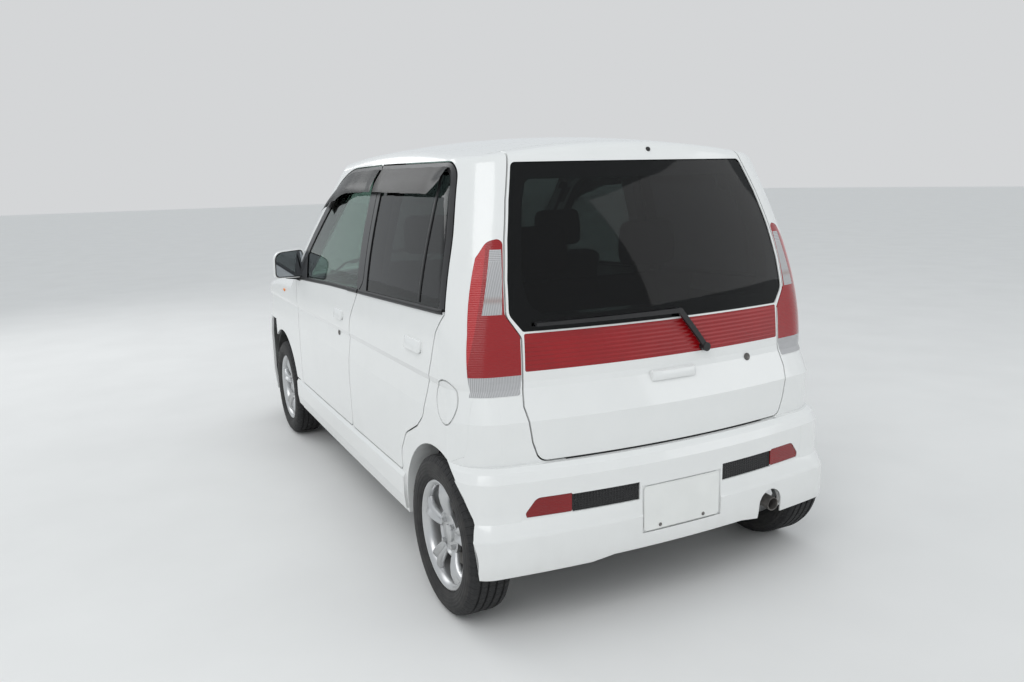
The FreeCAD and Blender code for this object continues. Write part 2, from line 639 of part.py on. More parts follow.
rear_panel = layer(box(-1800, -1560, -399.7, 399.7, TAIL_PANEL_Z, 556), 0, DOOR_DEPTH)
tank = rounded_box(-960, -650, -400, 400, 225, 399.7, 25)
save("underbody", floor, rear_panel, tank)

engine = box(*ENGINE_BOX)
save("engine_block", engine)

# Grille
grille_half = HEADLAMP_Y - SEAT_GAP
grille = layer(box(1400, 1800, -grille_half, grille_half, 650, HEADLAMP_Z[1]), GLASS_OUT, BONNET_DEPTH)
save("grille", grille)

# Chassis
ARM_Z = (160.0, 180.0)
BALL_R = 10.0
STRUT_R = 22.0
STUB_R = 14.0
HUB_FACE_Y = TRACK / 2 + 40
CARRIER_END_Y = 628.0
HUB_START_Y = CARRIER_END_Y + DOOR_GAP

ARM = [
    (950, 240, 0), (950, 300, 20), (992, 545, 0), (992, 568, 27),
    (1048, 568, 27), (1048, 545, 0), (1090, 300, 20), (1090, 240, 0),
]
arm = prism_z(ARM, *ARM_Z)
arm = arm.cut(rod((FRONT_AXLE_X, KINGPIN_Y, 100), (FRONT_AXLE_X, KINGPIN_Y, 300), BALL_R + RUNNING_FIT))
cradle = box(940, 1100, -300, 300, ARM_Z[0], 214.7).fuse(both(arm))
beam = box(-1130, -1080, -540, 540, 245, 290)
trail = box(-1375, -760, 500, 540, 240, 292).fuse(box(-830, -760, 495, 545, 280, 399.7))
carrier = rod((REAR_AXLE_X, 500, HUB_Z), (REAR_AXLE_X, CARRIER_END_Y, HUB_Z), 42)
stub = rod((REAR_AXLE_X, 520, HUB_Z), (REAR_AXLE_X, HUB_FACE_Y - 4, HUB_Z), STUB_R)
coil = rod((-1180, 436, 280), (-1180, 436, 399.7), 42).fuse(box(-1222, -1138, 398 - 20, 520, 262, 285))
rear_axle = beam.fuse(both(trail) + both(carrier) + both(stub) + both(coil))
save("suspension", cradle, rear_axle)

knuckle = rod((FRONT_AXLE_X, KINGPIN_Y, ARM_Z[0] - 8), (FRONT_AXLE_X, KINGPIN_Y, 200), BALL_R)
knuckle = knuckle.fuse([
    rod((FRONT_AXLE_X, KINGPIN_Y, ARM_Z[1] + 5.5), (FRONT_AXLE_X, KINGPIN_Y, 780), STRUT_R),
    rod((FRONT_AXLE_X, KINGPIN_Y, 545), (FRONT_AXLE_X, KINGPIN_Y, 770), 52),
    rod((FRONT_AXLE_X, 512, HUB_Z), (FRONT_AXLE_X, CARRIER_END_Y, HUB_Z), 42),
    rod((FRONT_AXLE_X, 520, HUB_Z), (FRONT_AXLE_X, HUB_FACE_Y - 4, HUB_Z), STUB_R),
    box(FRONT_AXLE_X - 130, FRONT_AXLE_X, 515, 535, 250, 280),
])
save("knuckle_left", knuckle)
save("knuckle_right", mirrored(knuckle))

pipe = rod((820, -180, 180), (-1280, -180, 180), 20).fuse(rod((-1280, -180, 180), (-1400, -360, 270), 20))
muffler = rounded_box(-1545, -1375, -468, -260, 232, 335, 30)
hangers = [rod((-1460, y, 320), (-1460, y, REAR_FLOOR_Z[0] - SEAT_GAP), 8) for y in (-430, -300)]
hangers.append(rod((300, -180, 190), (300, -180, FLOOR_Z[0] - SEAT_GAP), 8))
exhaust = pipe.fuse([muffler, rod((-1530, -400, 272), (-1688, -400, 266), 24)] + hangers)
exhaust = exhaust.cut(rod((-1600, -400, 270), (-1700, -400, 265.6), 21))
save("exhaust", exhaust)

# Wheels
# Half sections: radius and distance outboard of the wheel's middle plane
TYRE_SECTION = [
    (184.3, 57.2), (184.3, 66), (196, 74), (222, 77.5), (246, 72), (262, 60),
    (266, 40), (266, -40), (262, -60), (246, -72), (222, -77.5), (196, -74),
    (184.3, -66), (184.3, -57.2), (171, -56.7), (171, 56.7),
]
RIM_SECTION = [
    (170.7, 57), (184, 57.5), (184, 62.5), (168, 62.5), (160, 56), (160, 30),
    (152, 22), (152, -10), (160, -30), (160, -56), (168, -62.5), (184, -62.5),
    (184, -57.5), (170.7, -57), (170.7, -36), (158, -20), (158, 12), (170.7, 28),
]
DISC_SECTION = [
    (0, 40), (62, 40), (70, 44), (125, 52), (161, 52), (161, 38), (125, 36), (75, 30), (60, 28), (0, 28),
]
BOSS_SECTION = [(0, 28), (0, 46), (26, 46), (30, 42), (30, 28)]
ROTOR_SECTION = [(0, -8), (112, -8), (112, 2), (0, 2)]
SPOKE_COUNT = 5
NUT_COUNT = 4
NUT_CIRCLE_R = 50.0


def turned(profile, x, y, side):
    """A ring turned about the wheel's axle line from a (radius, outboard) profile."""
    points = [V(x, y + side * c[1], HUB_Z + c[0]) for c in profile]
    face = Part.Face(Part.makePolygon(points + [points[0]]))
    return face.revolve(V(x, y, HUB_Z), V(0, 1, 0), 360)


def tyre(x, side):
    return turned(TYRE_SECTION, x, side * TRACK / 2, side)


def rim(x, side):
    y = side * TRACK / 2
    ring = turned(RIM_SECTION, x, y, side)
    disc = turned(DISC_SECTION, x, y, side)
    low, high = HUB_Z + 80, HUB_Z + 146
    opening = [(x - 42, high, 12), (x + 42, high, 12), (x + 20, low, 12), (x - 20, low, 12)]
    for i in range(SPOKE_COUNT):
        hole = prism_y(opening, min(y, y + side * 100), max(y, y + side * 100))
        hole.rotate(V(x, 0, HUB_Z), V(0, 1, 0), (i + 0.5) * 360 / SPOKE_COUNT)
        disc = disc.cut(hole)
    boss = turned(BOSS_SECTION, x, y, side)
    nuts = []
    for i in range(NUT_COUNT):
        a = math.radians((i + 0.5) * 360 / NUT_COUNT)
        nx, nz = x + NUT_CIRCLE_R * math.cos(a), HUB_Z + NUT_CIRCLE_R * math.sin(a)
        nuts.append(rod((nx, y + side * 36, nz), (nx, y + side * 56, nz), 9.5))
    start = HUB_START_Y - TRACK / 2
    hub = turned([(0, start), (32, start), (32, 20), (62, 20), (62, 28.2), (0, 28.2)], x, y, side)
    rotor = turned(ROTOR_SECTION, x, y, side)
    wheel = ring.fuse([disc, boss, hub, rotor] + nuts)
    bore = rod((x, side * 600, HUB_Z), (x, side * (HUB_FACE_Y + 1), HUB_Z), STUB_R + RUNNING_FIT)
    return wheel.cut(bore)


for name, x, side in (
        ("fl", FRONT_AXLE_X, 1), ("fr", FRONT_AXLE_X, -1),
        ("rl", REAR_AXLE_X, 1), ("rr", REAR_AXLE_X, -1)):
    save("tyre_" + name, tyre(x, side))
    save("rim_" + name, rim(x, side))

# Cabin
DRIVER_Y = -320.0
SHAFT_R = 10.0
DASH = [(644.7, 640, 20), (470, 640, 60), (430, 760, 60), (440, 850, 50), (530, 895, 60), (644.7, 850, 10)]
dash = prism_y(DASH, -610, 610)
HOOD = [(600, 860, 5), (440, 840, 20), (425, 930, 30), (600, 935, 5)]
dash = dash.fuse(prism_y(HOOD, DRIVER_Y - 150, DRIVER_Y + 150))
WHEEL_CENTRE = V(300, DRIVER_Y, 850)
COLUMN_ANGLE = 27.0
COLUMN = V(math.cos(math.radians(COLUMN_ANGLE)), 0, -math.sin(math.radians(COLUMN_ANGLE)))
column_start = WHEEL_CENTRE + COLUMN * 60
column_end = WHEEL_CENTRE + COLUMN * 260
dash = dash.fuse(rod(tuple(column_start), tuple(column_end), 32))
column_bore = WHEEL_CENTRE + COLUMN * 160
dash = dash.cut(rod(tuple(WHEEL_CENTRE), tuple(column_bore), SHAFT_R + RUNNING_FIT))
save("dashboard", dash)

wheel_rim = Part.makeTorus(178, 14, WHEEL_CENTRE, COLUMN)
hub_boss = Part.makeCylinder(58, 40, WHEEL_CENTRE + COLUMN * 8, COLUMN)
spokes = []
for angle in (90, 215, 325):
    bar = box(0, 172, -18, 18, -8, 8)
    lean = FreeCAD.Rotation(V(0, 1, 0), 90 + COLUMN_ANGLE)
    turn = FreeCAD.Rotation(V(0, 0, 1), angle + 90)
    bar.Placement = FreeCAD.Placement(WHEEL_CENTRE + COLUMN * 16, lean.multiply(turn))
    spokes.append(bar)
shaft = Part.makeCylinder(SHAFT_R, 130, WHEEL_CENTRE + COLUMN * 20, COLUMN)
save("steering_wheel", wheel_rim.fuse([hub_boss, shaft] + spokes))

FRONT_SEAT_Y = (75.0, 565.0)


def seat(cushion, back, y0, y1, rests, rest_x, rest_z):
    """A cushion and leaning back from side outlines, with headrests on posts."""
    parts = [prism_y(cushion, y0, y1), prism_y(back, y0, y1)]
    for y in rests:
        head = rounded_box(rest_x - 50, rest_x + 50, y - 125, y + 125, rest_z, rest_z + 165, 35)
        parts.append(head)
        for post in (y - 50, y + 50):
            parts.append(rod((rest_x, post, rest_z - 60), (rest_x, post, rest_z + 40), 7))
    return parts[0].fuse(parts[1:])


FRONT_CUSHION = [(300, 300, 20), (310, 440, 50), (250, 500, 60), (-190, 470, 40), (-230, 300, 20)]
FRONT_BACK = [(-215, 400, 40), (-120, 470, 40), (-250, 1080, 55), (-385, 1075, 50), (-300, 500, 60)]
REAR_CUSHION = [(-610, 420.3, 20), (-590, 520, 50), (-640, 565, 40), (-1040, 545, 30), (-1060, 420.3, 10)]
REAR_BACK = [(-1050, 470, 30), (-960, 540, 40), (-1080, 1060, 55), (-1200, 1060, 50), (-1110, 500, 40)]
front_seat = seat(FRONT_CUSHION, FRONT_BACK, *FRONT_SEAT_Y, (320,), -330, 1105)
front_seat = front_seat.fuse(box(-150, 250, 110, 530, FLOOR_Z[1] + SEAT_GAP, 320))
save("front_seats", *both(front_seat))
rear_seat = seat(REAR_CUSHION, REAR_BACK, -465, 465, (-240, 240), -1150, 1085)
save("rear_seat", rear_seat)

# Mirrors and wipers
MIRROR_X = (470.0, 562.0)
MIRROR_Y = (729.0, 864.0)
mirror = rounded_box(MIRROR_X[0], MIRROR_X[1], MIRROR_Y[0], MIRROR_Y[1], 952, 1103, 30)
mirror = mirror.fuse(rod((522, 700, 985), (522, 790, 1000), 18)).cut(body_form(0))
mirror = Part.makeCompound([s for s in mirror.Solids if s.BoundBox.YMax > 800])
save("mirror_left", mirror)
save("mirror_right", mirrored(mirror))

# The rear wiper follows the glass: its arm and blade are slices parallel to the curved back.
WIPER_PIVOT = (-143.0, 851.0)
WIPER_ELBOW = (-41.0, 981.0)
WIPER_TIP_Y = 472.0


def back_slice(outer, inner):
    return loft(UPPER_ROWS, outer, False).cut(loft(UPPER_ROWS, inner, False))


(py, pz), (ey, ez) = WIPER_PIVOT, WIPER_ELBOW
ARM_LINE = [(py - 7, pz + 5), (py + 6, pz - 5), (ey + 7, ez - 7), (ey - 6, ez + 7)]
BLADE_LINE = [(ey - 8, ez - 7), (ey - 6, ez + 8), (WIPER_TIP_Y, ez + 4), (WIPER_TIP_Y, ez - 6)]
RUBBER_LINE = [(ey + 30, ez - 5), (ey + 30, ez + 3), (WIPER_TIP_Y - 4, ez + 3), (WIPER_TIP_Y - 4, ez - 5)]
arm_and_blade = prism_x(ARM_LINE, -1800, -1500).fuse(prism_x(BLADE_LINE, -1800, -1400))
rubber = prism_x(RUBBER_LINE, -1800, -1400)
pivot = rod((-1800, py, pz), (-1500, py, pz), 15)
wiper = back_slice(-22, -10).common(arm_and_blade)
wiper = wiper.fuse(back_slice(-12, GLASS_OUT - SEAT_GAP).common(rubber))
wiper = wiper.fuse(back_slice(-24, -SEAT_GAP).common(pivot))
save("rear_wiper", wiper)
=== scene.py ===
import logging
import math
from collections.abc import Iterable
from dataclasses import dataclass
from enum import Enum

import bmesh
import bpy
from mathutils import Matrix, Vector
from mathutils.bvhtree import BVHTree


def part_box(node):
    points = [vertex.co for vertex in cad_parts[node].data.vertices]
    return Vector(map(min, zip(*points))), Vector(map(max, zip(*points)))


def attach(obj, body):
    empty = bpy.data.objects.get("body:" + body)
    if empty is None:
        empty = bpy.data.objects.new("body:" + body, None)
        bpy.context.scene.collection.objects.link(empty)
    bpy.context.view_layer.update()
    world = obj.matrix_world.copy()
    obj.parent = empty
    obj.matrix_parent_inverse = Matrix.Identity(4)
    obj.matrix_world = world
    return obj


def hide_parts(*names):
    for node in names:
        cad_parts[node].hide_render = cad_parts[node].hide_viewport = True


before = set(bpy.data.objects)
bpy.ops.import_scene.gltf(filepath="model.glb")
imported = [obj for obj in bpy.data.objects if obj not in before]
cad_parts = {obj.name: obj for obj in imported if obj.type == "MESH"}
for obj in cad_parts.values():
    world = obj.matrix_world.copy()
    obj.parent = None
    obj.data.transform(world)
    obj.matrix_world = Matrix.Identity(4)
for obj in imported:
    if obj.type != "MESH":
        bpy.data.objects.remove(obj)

Rgb = tuple[float, float, float]
Xyz = tuple[float, float, float]
Pair = tuple[float, float]
Socket = bpy.types.NodeSocket
LOG = logging.getLogger("kei_car")
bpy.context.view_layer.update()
WAVES_PER_UNIT = 3.18


class Side(Enum):
    """The two sides of the car, with the sign of Y on each."""

    LEFT = 1
    RIGHT = -1

    @property
    def word(self) -> str:
        """The side's name as the CAD nodes write it."""
        return self.name.lower()


class Pattern(Enum):
    """The fine surface patterns that a finish can carry."""

    NONE = "none"
    GRAIN = "grain"
    WEAVE = "weave"
    RIBS_Z = "ribs along z"
    RIBS_Y = "ribs along y"
    MESH = "open mesh"
    BRUSHED = "brushed"


# Finishes
class Nodes:
    """Small helper that adds shader nodes to one material."""

    def __init__(self, material: bpy.types.Material) -> None:
        """Clears the material's tree and keeps its shader and coordinates.

        Args:
            material: the material to fill.
        """
        material.use_nodes = True
        self.tree = material.node_tree
        self.tree.nodes.clear()
        self.output = self.add("ShaderNodeOutputMaterial")
        self.shader = self.add("ShaderNodeBsdfPrincipled")
        self.tree.links.new(self.shader.outputs[0], self.output.inputs[0])
        self.coords = self.add("ShaderNodeTexCoord").outputs["Object"]

    def add(self, kind: str, **values: object) -> bpy.types.Node:
        """Adds a node and sets its properties.

        Args:
            kind: the node's type name.
            values: properties to set on it.

        Returns:
            The new node.
        """
        node = self.tree.nodes.new(kind)
        for key, value in values.items():
            setattr(node, key, value)
        return node

    def link(self, source: Socket, target: Socket) -> None:
        """Joins two sockets."""
        self.tree.links.new(source, target)

    def noise(self, scale: float, detail: float = 3.0, stretch: Xyz = (1, 1, 1)) -> Socket:
        """Returns noise on object coordinates.

        Args:
            scale: waves per metre.
            detail: octaves.
            stretch: how the coordinates are scaled first.

        Returns:
            The factor socket.
        """
        mapping = self.add("ShaderNodeMapping")
        mapping.inputs["Scale"].default_value = stretch
        self.link(self.coords, mapping.inputs["Vector"])
        node = self.add("ShaderNodeTexNoise")
        node.inputs["Scale"].default_value = scale
        node.inputs["Detail"].default_value = detail
        self.link(mapping.outputs[0], node.inputs["Vector"])
        return node.outputs["Fac"]

    def bands(self, axis: str, scale: float) -> Socket:
        """Adds regular bands across one axis.

        Args:
            axis: X, Y or Z.
            scale: bands per metre.

        Returns:
            The factor socket.
        """
        node = self.add("ShaderNodeTexWave", bands_direction=axis, wave_profile="SIN")
        node.inputs["Scale"].default_value = scale / WAVES_PER_UNIT
        self.link(self.coords, node.inputs["Vector"])
        return node.outputs["Fac"]

    def ramp(self, factor: Socket, stops: list[tuple[float, Rgb]]) -> Socket:
        """Colours a factor with a ramp.

        Args:
            factor: the socket that picks the colour.
            stops: the (place, colour) stops in order.

        Returns:
            The colour socket.
        """
        node = self.add("ShaderNodeValToRGB")
        while len(node.color_ramp.elements) < len(stops):
            node.color_ramp.elements.new(0.5)
        for element, (place, colour) in zip(node.color_ramp.elements, stops):
            element.position = place
            element.color = (*colour, 1)
        self.link(factor, node.inputs[0])
        return node.outputs[0]

    def math(self, operation: str, a: Socket | float, b: Socket | float = 0.0) -> Socket:
        """Adds a math node.

        Args:
            operation: its operation.
            a: its first value, a socket or a number.
            b: its second value.

        Returns:
            The result's socket.
        """
        node = self.add("ShaderNodeMath", operation=operation)
        for socket, value in zip(node.inputs, (a, b)):
            if isinstance(value, Socket):
                self.link(value, socket)
            else:
                socket.default_value = value
        return node.outputs[0]

    def inverse(self, value: Socket) -> Socket:
        """Returns one minus a value."""
        return self.math("SUBTRACT", 1.0, value)

    def mix(self, factor: Socket, a: Socket | Rgb, b: Socket | Rgb) -> Socket:
        """Mixes two colours.

        Args:
            factor: the share of the second.
            a: the first colour.
            b: the second colour.

        Returns:
            The mixed colour's socket.
        """
        node = self.add("ShaderNodeMix", data_type="RGBA")
        self.link(factor, node.inputs[0])
        for socket, value in ((node.inputs[6], a), (node.inputs[7], b)):
            if isinstance(value, Socket):
                self.link(value, socket)
            else:
                socket.default_value = (*value, 1)
        return node.outputs[2]

    def axis(self, name: str) -> Socket:
        """Reads one of the object coordinates.

        Args:
            name: X, Y or Z.

        Returns:
            The coordinate's socket, in metres.
        """
        node = self.add("ShaderNodeSeparateXYZ")
        self.link(self.coords, node.inputs[0])
        return node.outputs[name]

    def step(self, value: Socket, edge: float, soft: float) -> Socket:
        """Adds a soft step.

        Args:
            value: what is compared.
            edge: the middle of the step.
            soft: the width of the step.

        Returns:
            A socket that is 0 below the edge and 1 above it.
        """
        node = self.add("ShaderNodeMapRange", interpolation_type="SMOOTHSTEP")
        node.inputs["From Min"].default_value = edge - soft / 2
        node.inputs["From Max"].default_value = edge + soft / 2
        self.link(value, node.inputs["Value"])
        return node.outputs[0]

    def bump(self, height: Socket, distance: float) -> None:
        """Adds a bump to the shader's normal, over any bump that is there.

        Args:
            height: the bump's height, 0 to 1.
            distance: its depth in metres.
        """
        node = self.add("ShaderNodeBump")
        node.inputs["Distance"].default_value = distance
        node.inputs["Strength"].default_value = 1.0
        self.link(height, node.inputs["Height"])
        if self.shader.inputs["Normal"].is_linked:
            previous = self.shader.inputs["Normal"].links[0].from_socket
            self.link(previous, node.inputs["Normal"])
        self.link(node.outputs[0], self.shader.inputs["Normal"])

    def colour(self, socket: Socket) -> None:
        """Feeds the shader's base colour."""
        self.link(socket, self.shader.inputs["Base Color"])


@dataclass(frozen=True)
class Finish:
    """A procedural surface finish.

    Colours are linear; sizes are in metres.
    """

    name: str
    base: Rgb
    roughness: float = 0.5
    metallic: float = 0.0
    coat: float = 0.0
    transmission: float = 0.0
    ior: float = 1.45
    mottle: float = 0.06
    mottle_scale: float = 9.0
    pattern: Pattern = Pattern.NONE
    pattern_scale: float = 600.0
    pattern_depth: float = 0.0002
    dust: float = 0.0
    dust_top: float = 0.42
    dust_colour: Rgb = (0.23, 0.19, 0.145)

    def build(self) -> bpy.types.Material:
        """Makes the material, once per finish.

        Returns:
            The new material, or the one made before.
        """
        found = bpy.data.materials.get(self.name)
        if found:
            return found
        material = bpy.data.materials.new(self.name)
        nodes = Nodes(material)
        shader = nodes.shader
        shader.inputs["Roughness"].default_value = self.roughness
        shader.inputs["Metallic"].default_value = self.metallic
        shader.inputs["Coat Weight"].default_value = self.coat
        shader.inputs["Coat Roughness"].default_value = 0.06
        shader.inputs["Transmission Weight"].default_value = self.transmission
        shader.inputs["IOR"].default_value = self.ior
        low = tuple(c * (1 - self.mottle) for c in self.base)
        high = tuple(min(1.0, c * (1 + self.mottle)) for c in self.base)
        colour = nodes.ramp(nodes.noise(self.mottle_scale), [(0.35, low), (0.65, high)])
        if self.dust > 0:
            height = nodes.axis("Z")
            fade = nodes.inverse(nodes.step(height, self.dust_top / 2, self.dust_top))
            spots = nodes.noise(26.0, 6.0, (1, 1, 0.6))
            amount = nodes.math("MULTIPLY", nodes.math("MULTIPLY", fade, spots), self.dust)
            colour = nodes.mix(amount, colour, self.dust_colour)
        nodes.colour(colour)
        self.add_pattern(nodes)
        return material

    def add_pattern(self, nodes: Nodes) -> None:
        """Adds the finish's fine relief.

        Args:
            nodes: the material's node helper.
        """
        scale, depth = self.pattern_scale, self.pattern_depth
        if self.pattern is Pattern.GRAIN:
            nodes.bump(nodes.noise(scale, 4.0), depth)
        elif self.pattern is Pattern.BRUSHED:
            nodes.bump(nodes.noise(scale, 2.0, (0.05, 1, 1)), depth)
        elif self.pattern is Pattern.WEAVE:
            warp = nodes.bands("X", scale)
            weft = nodes.bands("Y", scale)
            rise = nodes.bands("Z", scale)
            nodes.bump(nodes.math("MAXIMUM", nodes.math("MULTIPLY", warp, weft), rise), depth)
        elif self.pattern is Pattern.RIBS_Z:
            nodes.bump(nodes.bands("Z", scale), depth)
        elif self.pattern is Pattern.RIBS_Y:
            nodes.bump(nodes.bands("Y", scale), depth)
        elif self.pattern is Pattern.MESH:
            holes = nodes.math("MULTIPLY", nodes.bands("Y", scale), nodes.bands("Z", scale * 1.4))
            nodes.bump(holes, depth)


WHITE = Finish("paint_white", (0.80, 0.81, 0.80), 0.22, coat=0.8, mottle=0.008,
               pattern=Pattern.GRAIN, pattern_scale=900, pattern_depth=0.00001, dust=0.25)
DARK_GLASS = Finish("glass_dark", (0.060, 0.064, 0.066), 0.02, transmission=1.0, ior=1.3, mottle=0.02)
GREEN_GLASS = Finish("glass_green", (0.36, 0.47, 0.42), 0.02, transmission=1.0, ior=1.3, mottle=0.02)
ALLOY = Finish("alloy_silver", (0.60, 0.61, 0.62), 0.30, metallic=0.85, coat=0.3, mottle=0.04,
               pattern=Pattern.GRAIN, pattern_scale=1500, pattern_depth=0.00003, dust=0.25, dust_top=0.9)
STEEL = Finish("steel_worn", (0.20, 0.19, 0.18), 0.55, metallic=0.7, mottle=0.35, mottle_scale=22,
               pattern=Pattern.GRAIN, pattern_scale=240, pattern_depth=0.0005)
BLACK_TRIM = Finish("plastic_black", (0.018, 0.018, 0.019), 0.45, mottle=0.12, mottle_scale=40,
                    pattern=Pattern.GRAIN, pattern_scale=1400, pattern_depth=0.00008, dust=0.15)
SMOKE = Finish("visor_smoke", (0.010, 0.009, 0.008), 0.16, transmission=0.30, ior=1.15, mottle=0.03)
MESH = Finish("mesh_black", (0.014, 0.014, 0.015), 0.5, mottle=0.1,
              pattern=Pattern.MESH, pattern_scale=95, pattern_depth=0.004)
RED_LENS = Finish("lens_red", (0.22, 0.003, 0.005), 0.14, coat=0.3, mottle=0.05,
                  pattern=Pattern.RIBS_Z, pattern_scale=160, pattern_depth=0.0006)
RED_GARNISH = Finish("garnish_red", (0.30, 0.004, 0.007), 0.2, coat=0.2, mottle=0.05,
                     pattern=Pattern.RIBS_Z, pattern_scale=75, pattern_depth=0.002)
AMBER_LENS = Finish("lens_amber", (0.85, 0.24, 0.02), 0.10, coat=0.8, mottle=0.05,
                    pattern=Pattern.RIBS_Z, pattern_scale=160, pattern_depth=0.0006)
FABRIC = Finish("seat_fabric", (0.115, 0.115, 0.125), 0.92, mottle=0.18, mottle_scale=60,
                pattern=Pattern.WEAVE, pattern_scale=520, pattern_depth=0.0006)
CABIN = Finish("cabin_plastic", (0.10, 0.10, 0.105), 0.6, mottle=0.1, mottle_scale=30,
               pattern=Pattern.GRAIN, pattern_scale=1200, pattern_depth=0.0001)
LEATHER = Finish("wheel_leather", (0.03, 0.03, 0.032), 0.55, mottle=0.12, mottle_scale=60,
                 pattern=Pattern.GRAIN, pattern_scale=1100, pattern_depth=0.0002)
UNDERSEAL = Finish("underseal", (0.055, 0.055, 0.055), 0.85, mottle=0.3, mottle_scale=20,
                   pattern=Pattern.GRAIN, pattern_scale=160, pattern_depth=0.0012)
CLEAR_COVER = Finish("lamp_cover", (0.93, 0.95, 0.96), 0.03, transmission=1.0, ior=1.25, mottle=0.01)
CHROME_SATIN = Finish("lamp_housing", (0.62, 0.63, 0.65), 0.28, metallic=0.9, mottle=0.05,
                      pattern=Pattern.RIBS_Y, pattern_scale=60, pattern_depth=0.0015)
MIRROR = Finish("mirror_silver", (0.36, 0.38, 0.40), 0.03, metallic=1.0, mottle=0.01)
CHROME = Finish("bright_metal", (0.72, 0.72, 0.73), 0.12, metallic=1.0, mottle=0.03)
PLATE_WHITE = Finish("plate_white", (0.80, 0.81, 0.79), 0.35, mottle=0.02,
                     pattern=Pattern.GRAIN, pattern_scale=700, pattern_depth=0.00004)


@dataclass(frozen=True)
class LampFinish:
    """The rear lamp's lens, divided on the lens itself.

    It is red with a clear foot and, above, a clear panel that leans in with the lamp. The panel's
    places are heights and distances from the car's middle, in metres. Its two sides are a start
    and a lean each. The bulb's band is three heights above 1 m.
    """

    name: str = "lens_rear"
    red: Rgb = (0.30, 0.003, 0.006)
    bright_red: Rgb = (0.50, 0.010, 0.014)
    clear: Rgb = (0.55, 0.55, 0.56)
    bulb: Rgb = (0.34, 0.13, 0.08)
    foot_top: float = 0.827
    panel_z: Pair = (1.014, 1.206)
    panel_outer: Pair = (0.6245, 0.255)
    panel_inner: Pair = (0.5666, 0.124)
    ribs_top: float = 1.172
    border: float = 0.011
    flutes: float = 210
    ribs: float = 190
    relief: float = 0.0006
    bulb_band: Xyz = (0.044, 0.056, 0.070)

    def build(self) -> bpy.types.Material:
        """Makes the divided lens material.

        Returns:
            The material.
        """
        found = bpy.data.materials.get(self.name)
        if found:
            return found
        material = bpy.data.materials.new(self.name)
        nodes = Nodes(material)
        shader = nodes.shader
        shader.inputs["Roughness"].default_value = 0.14
        shader.inputs["Coat Weight"].default_value = 0.25
        height = nodes.axis("Z")
        across = nodes.math("ABSOLUTE", nodes.axis("Y"))
        rise = nodes.math("SUBTRACT", height, self.panel_z[0])
        outer, inner = (nodes.math("SUBTRACT", start, nodes.math("MULTIPLY", rise, lean))
                        for start, lean in (self.panel_outer, self.panel_inner))
        beyond = nodes.math("SUBTRACT", across, outer)
        below_top = nodes.inverse(nodes.step(height, self.panel_z[1], 0.002))
        within = nodes.math("MULTIPLY", nodes.step(height, self.panel_z[0], 0.001), below_top)
        within = nodes.math("MULTIPLY", within, nodes.inverse(nodes.step(beyond, 0.0, 0.001)))
        past_inner = nodes.step(nodes.math("SUBTRACT", across, inner), 0.0, 0.001)
        within = nodes.math("MULTIPLY", within, past_inner)
        edge = nodes.step(beyond, self.border, 0.002)
        foot = nodes.inverse(nodes.step(height, self.foot_top, 0.001))
        flutes = nodes.bands("Y", self.flutes)
        ribs = nodes.bands("Z", self.ribs)
        dark, lit = (0.0, 0.0, 0.0), (1.0, 1.0, 1.0)
        glow = nodes.ramp(nodes.math("SUBTRACT", height, 1.0), list(zip(self.bulb_band, (dark, lit, dark))))
        panel = nodes.mix(nodes.math("MULTIPLY", glow, 0.55), self.clear, self.bulb)
        grey = tuple(0.42 * c for c in self.clear)
        upper = nodes.step(height, self.ribs_top, 0.001)
        fine = nodes.mix(upper, nodes.math("MULTIPLY", flutes, 0.8), nodes.math("MULTIPLY", ribs, 0.8))
        panel = nodes.mix(fine, panel, grey)
        base = nodes.mix(nodes.math("MULTIPLY", flutes, 0.7), self.clear, grey)
        lens = nodes.mix(edge, self.red, self.bright_red)
        lens = nodes.mix(nodes.math("MULTIPLY", nodes.noise(9.0), 0.5), lens, self.red)
        nodes.colour(nodes.mix(foot, nodes.mix(within, lens, panel), base))
        nodes.bump(nodes.mix(nodes.math("MAXIMUM", within, foot), ribs, flutes), self.relief)
        return material


REAR_LENS = LampFinish()


@dataclass(frozen=True)
class DoorFinish:
    """Door paint that turns to satin black above the belt line, on the slim window frames."""

    name: str = "paint_door"
    belt: tuple[Pair, Pair] = ((0.60, 0.947), (-1.46, 1.020))
    frame_colour: Rgb = (0.014, 0.014, 0.015)
    frame_roughness: float = 0.3

    def build(self) -> bpy.types.Material:
        """Makes the two-tone door material.

        Returns:
            The material.
        """
        found = bpy.data.materials.get(self.name)
        if found:
            return found
        white = WHITE.build().copy()
        white.name = self.name
        tree = white.node_tree
        output = next(n for n in tree.nodes if n.type == "OUTPUT_MATERIAL")
        paint = output.inputs[0].links[0].from_node
        coords = tree.nodes.new("ShaderNodeTexCoord")
        split = tree.nodes.new("ShaderNodeSeparateXYZ")
        tree.links.new(coords.outputs["Object"], split.inputs[0])
        line = tree.nodes.new("ShaderNodeMapRange")
        line.inputs["From Min"].default_value = self.belt[0][0]
        line.inputs["From Max"].default_value = self.belt[-1][0]
        line.inputs["To Min"].default_value = self.belt[0][1]
        line.inputs["To Max"].default_value = self.belt[-1][1]
        tree.links.new(split.outputs["X"], line.inputs["Value"])
        above = tree.nodes.new("ShaderNodeMath")
        above.operation = "GREATER_THAN"
        tree.links.new(split.outputs["Z"], above.inputs[0])
        tree.links.new(line.outputs[0], above.inputs[1])
        black = tree.nodes.new("ShaderNodeBsdfPrincipled")
        black.inputs["Base Color"].default_value = (*self.frame_colour, 1)
        black.inputs["Roughness"].default_value = self.frame_roughness
        mixer = tree.nodes.new("ShaderNodeMixShader")
        tree.links.new(above.outputs[0], mixer.inputs[0])
        tree.links.new(paint.outputs[0], mixer.inputs[1])
        tree.links.new(black.outputs[0], mixer.inputs[2])
        tree.links.new(mixer.outputs[0], output.inputs[0])
        return white


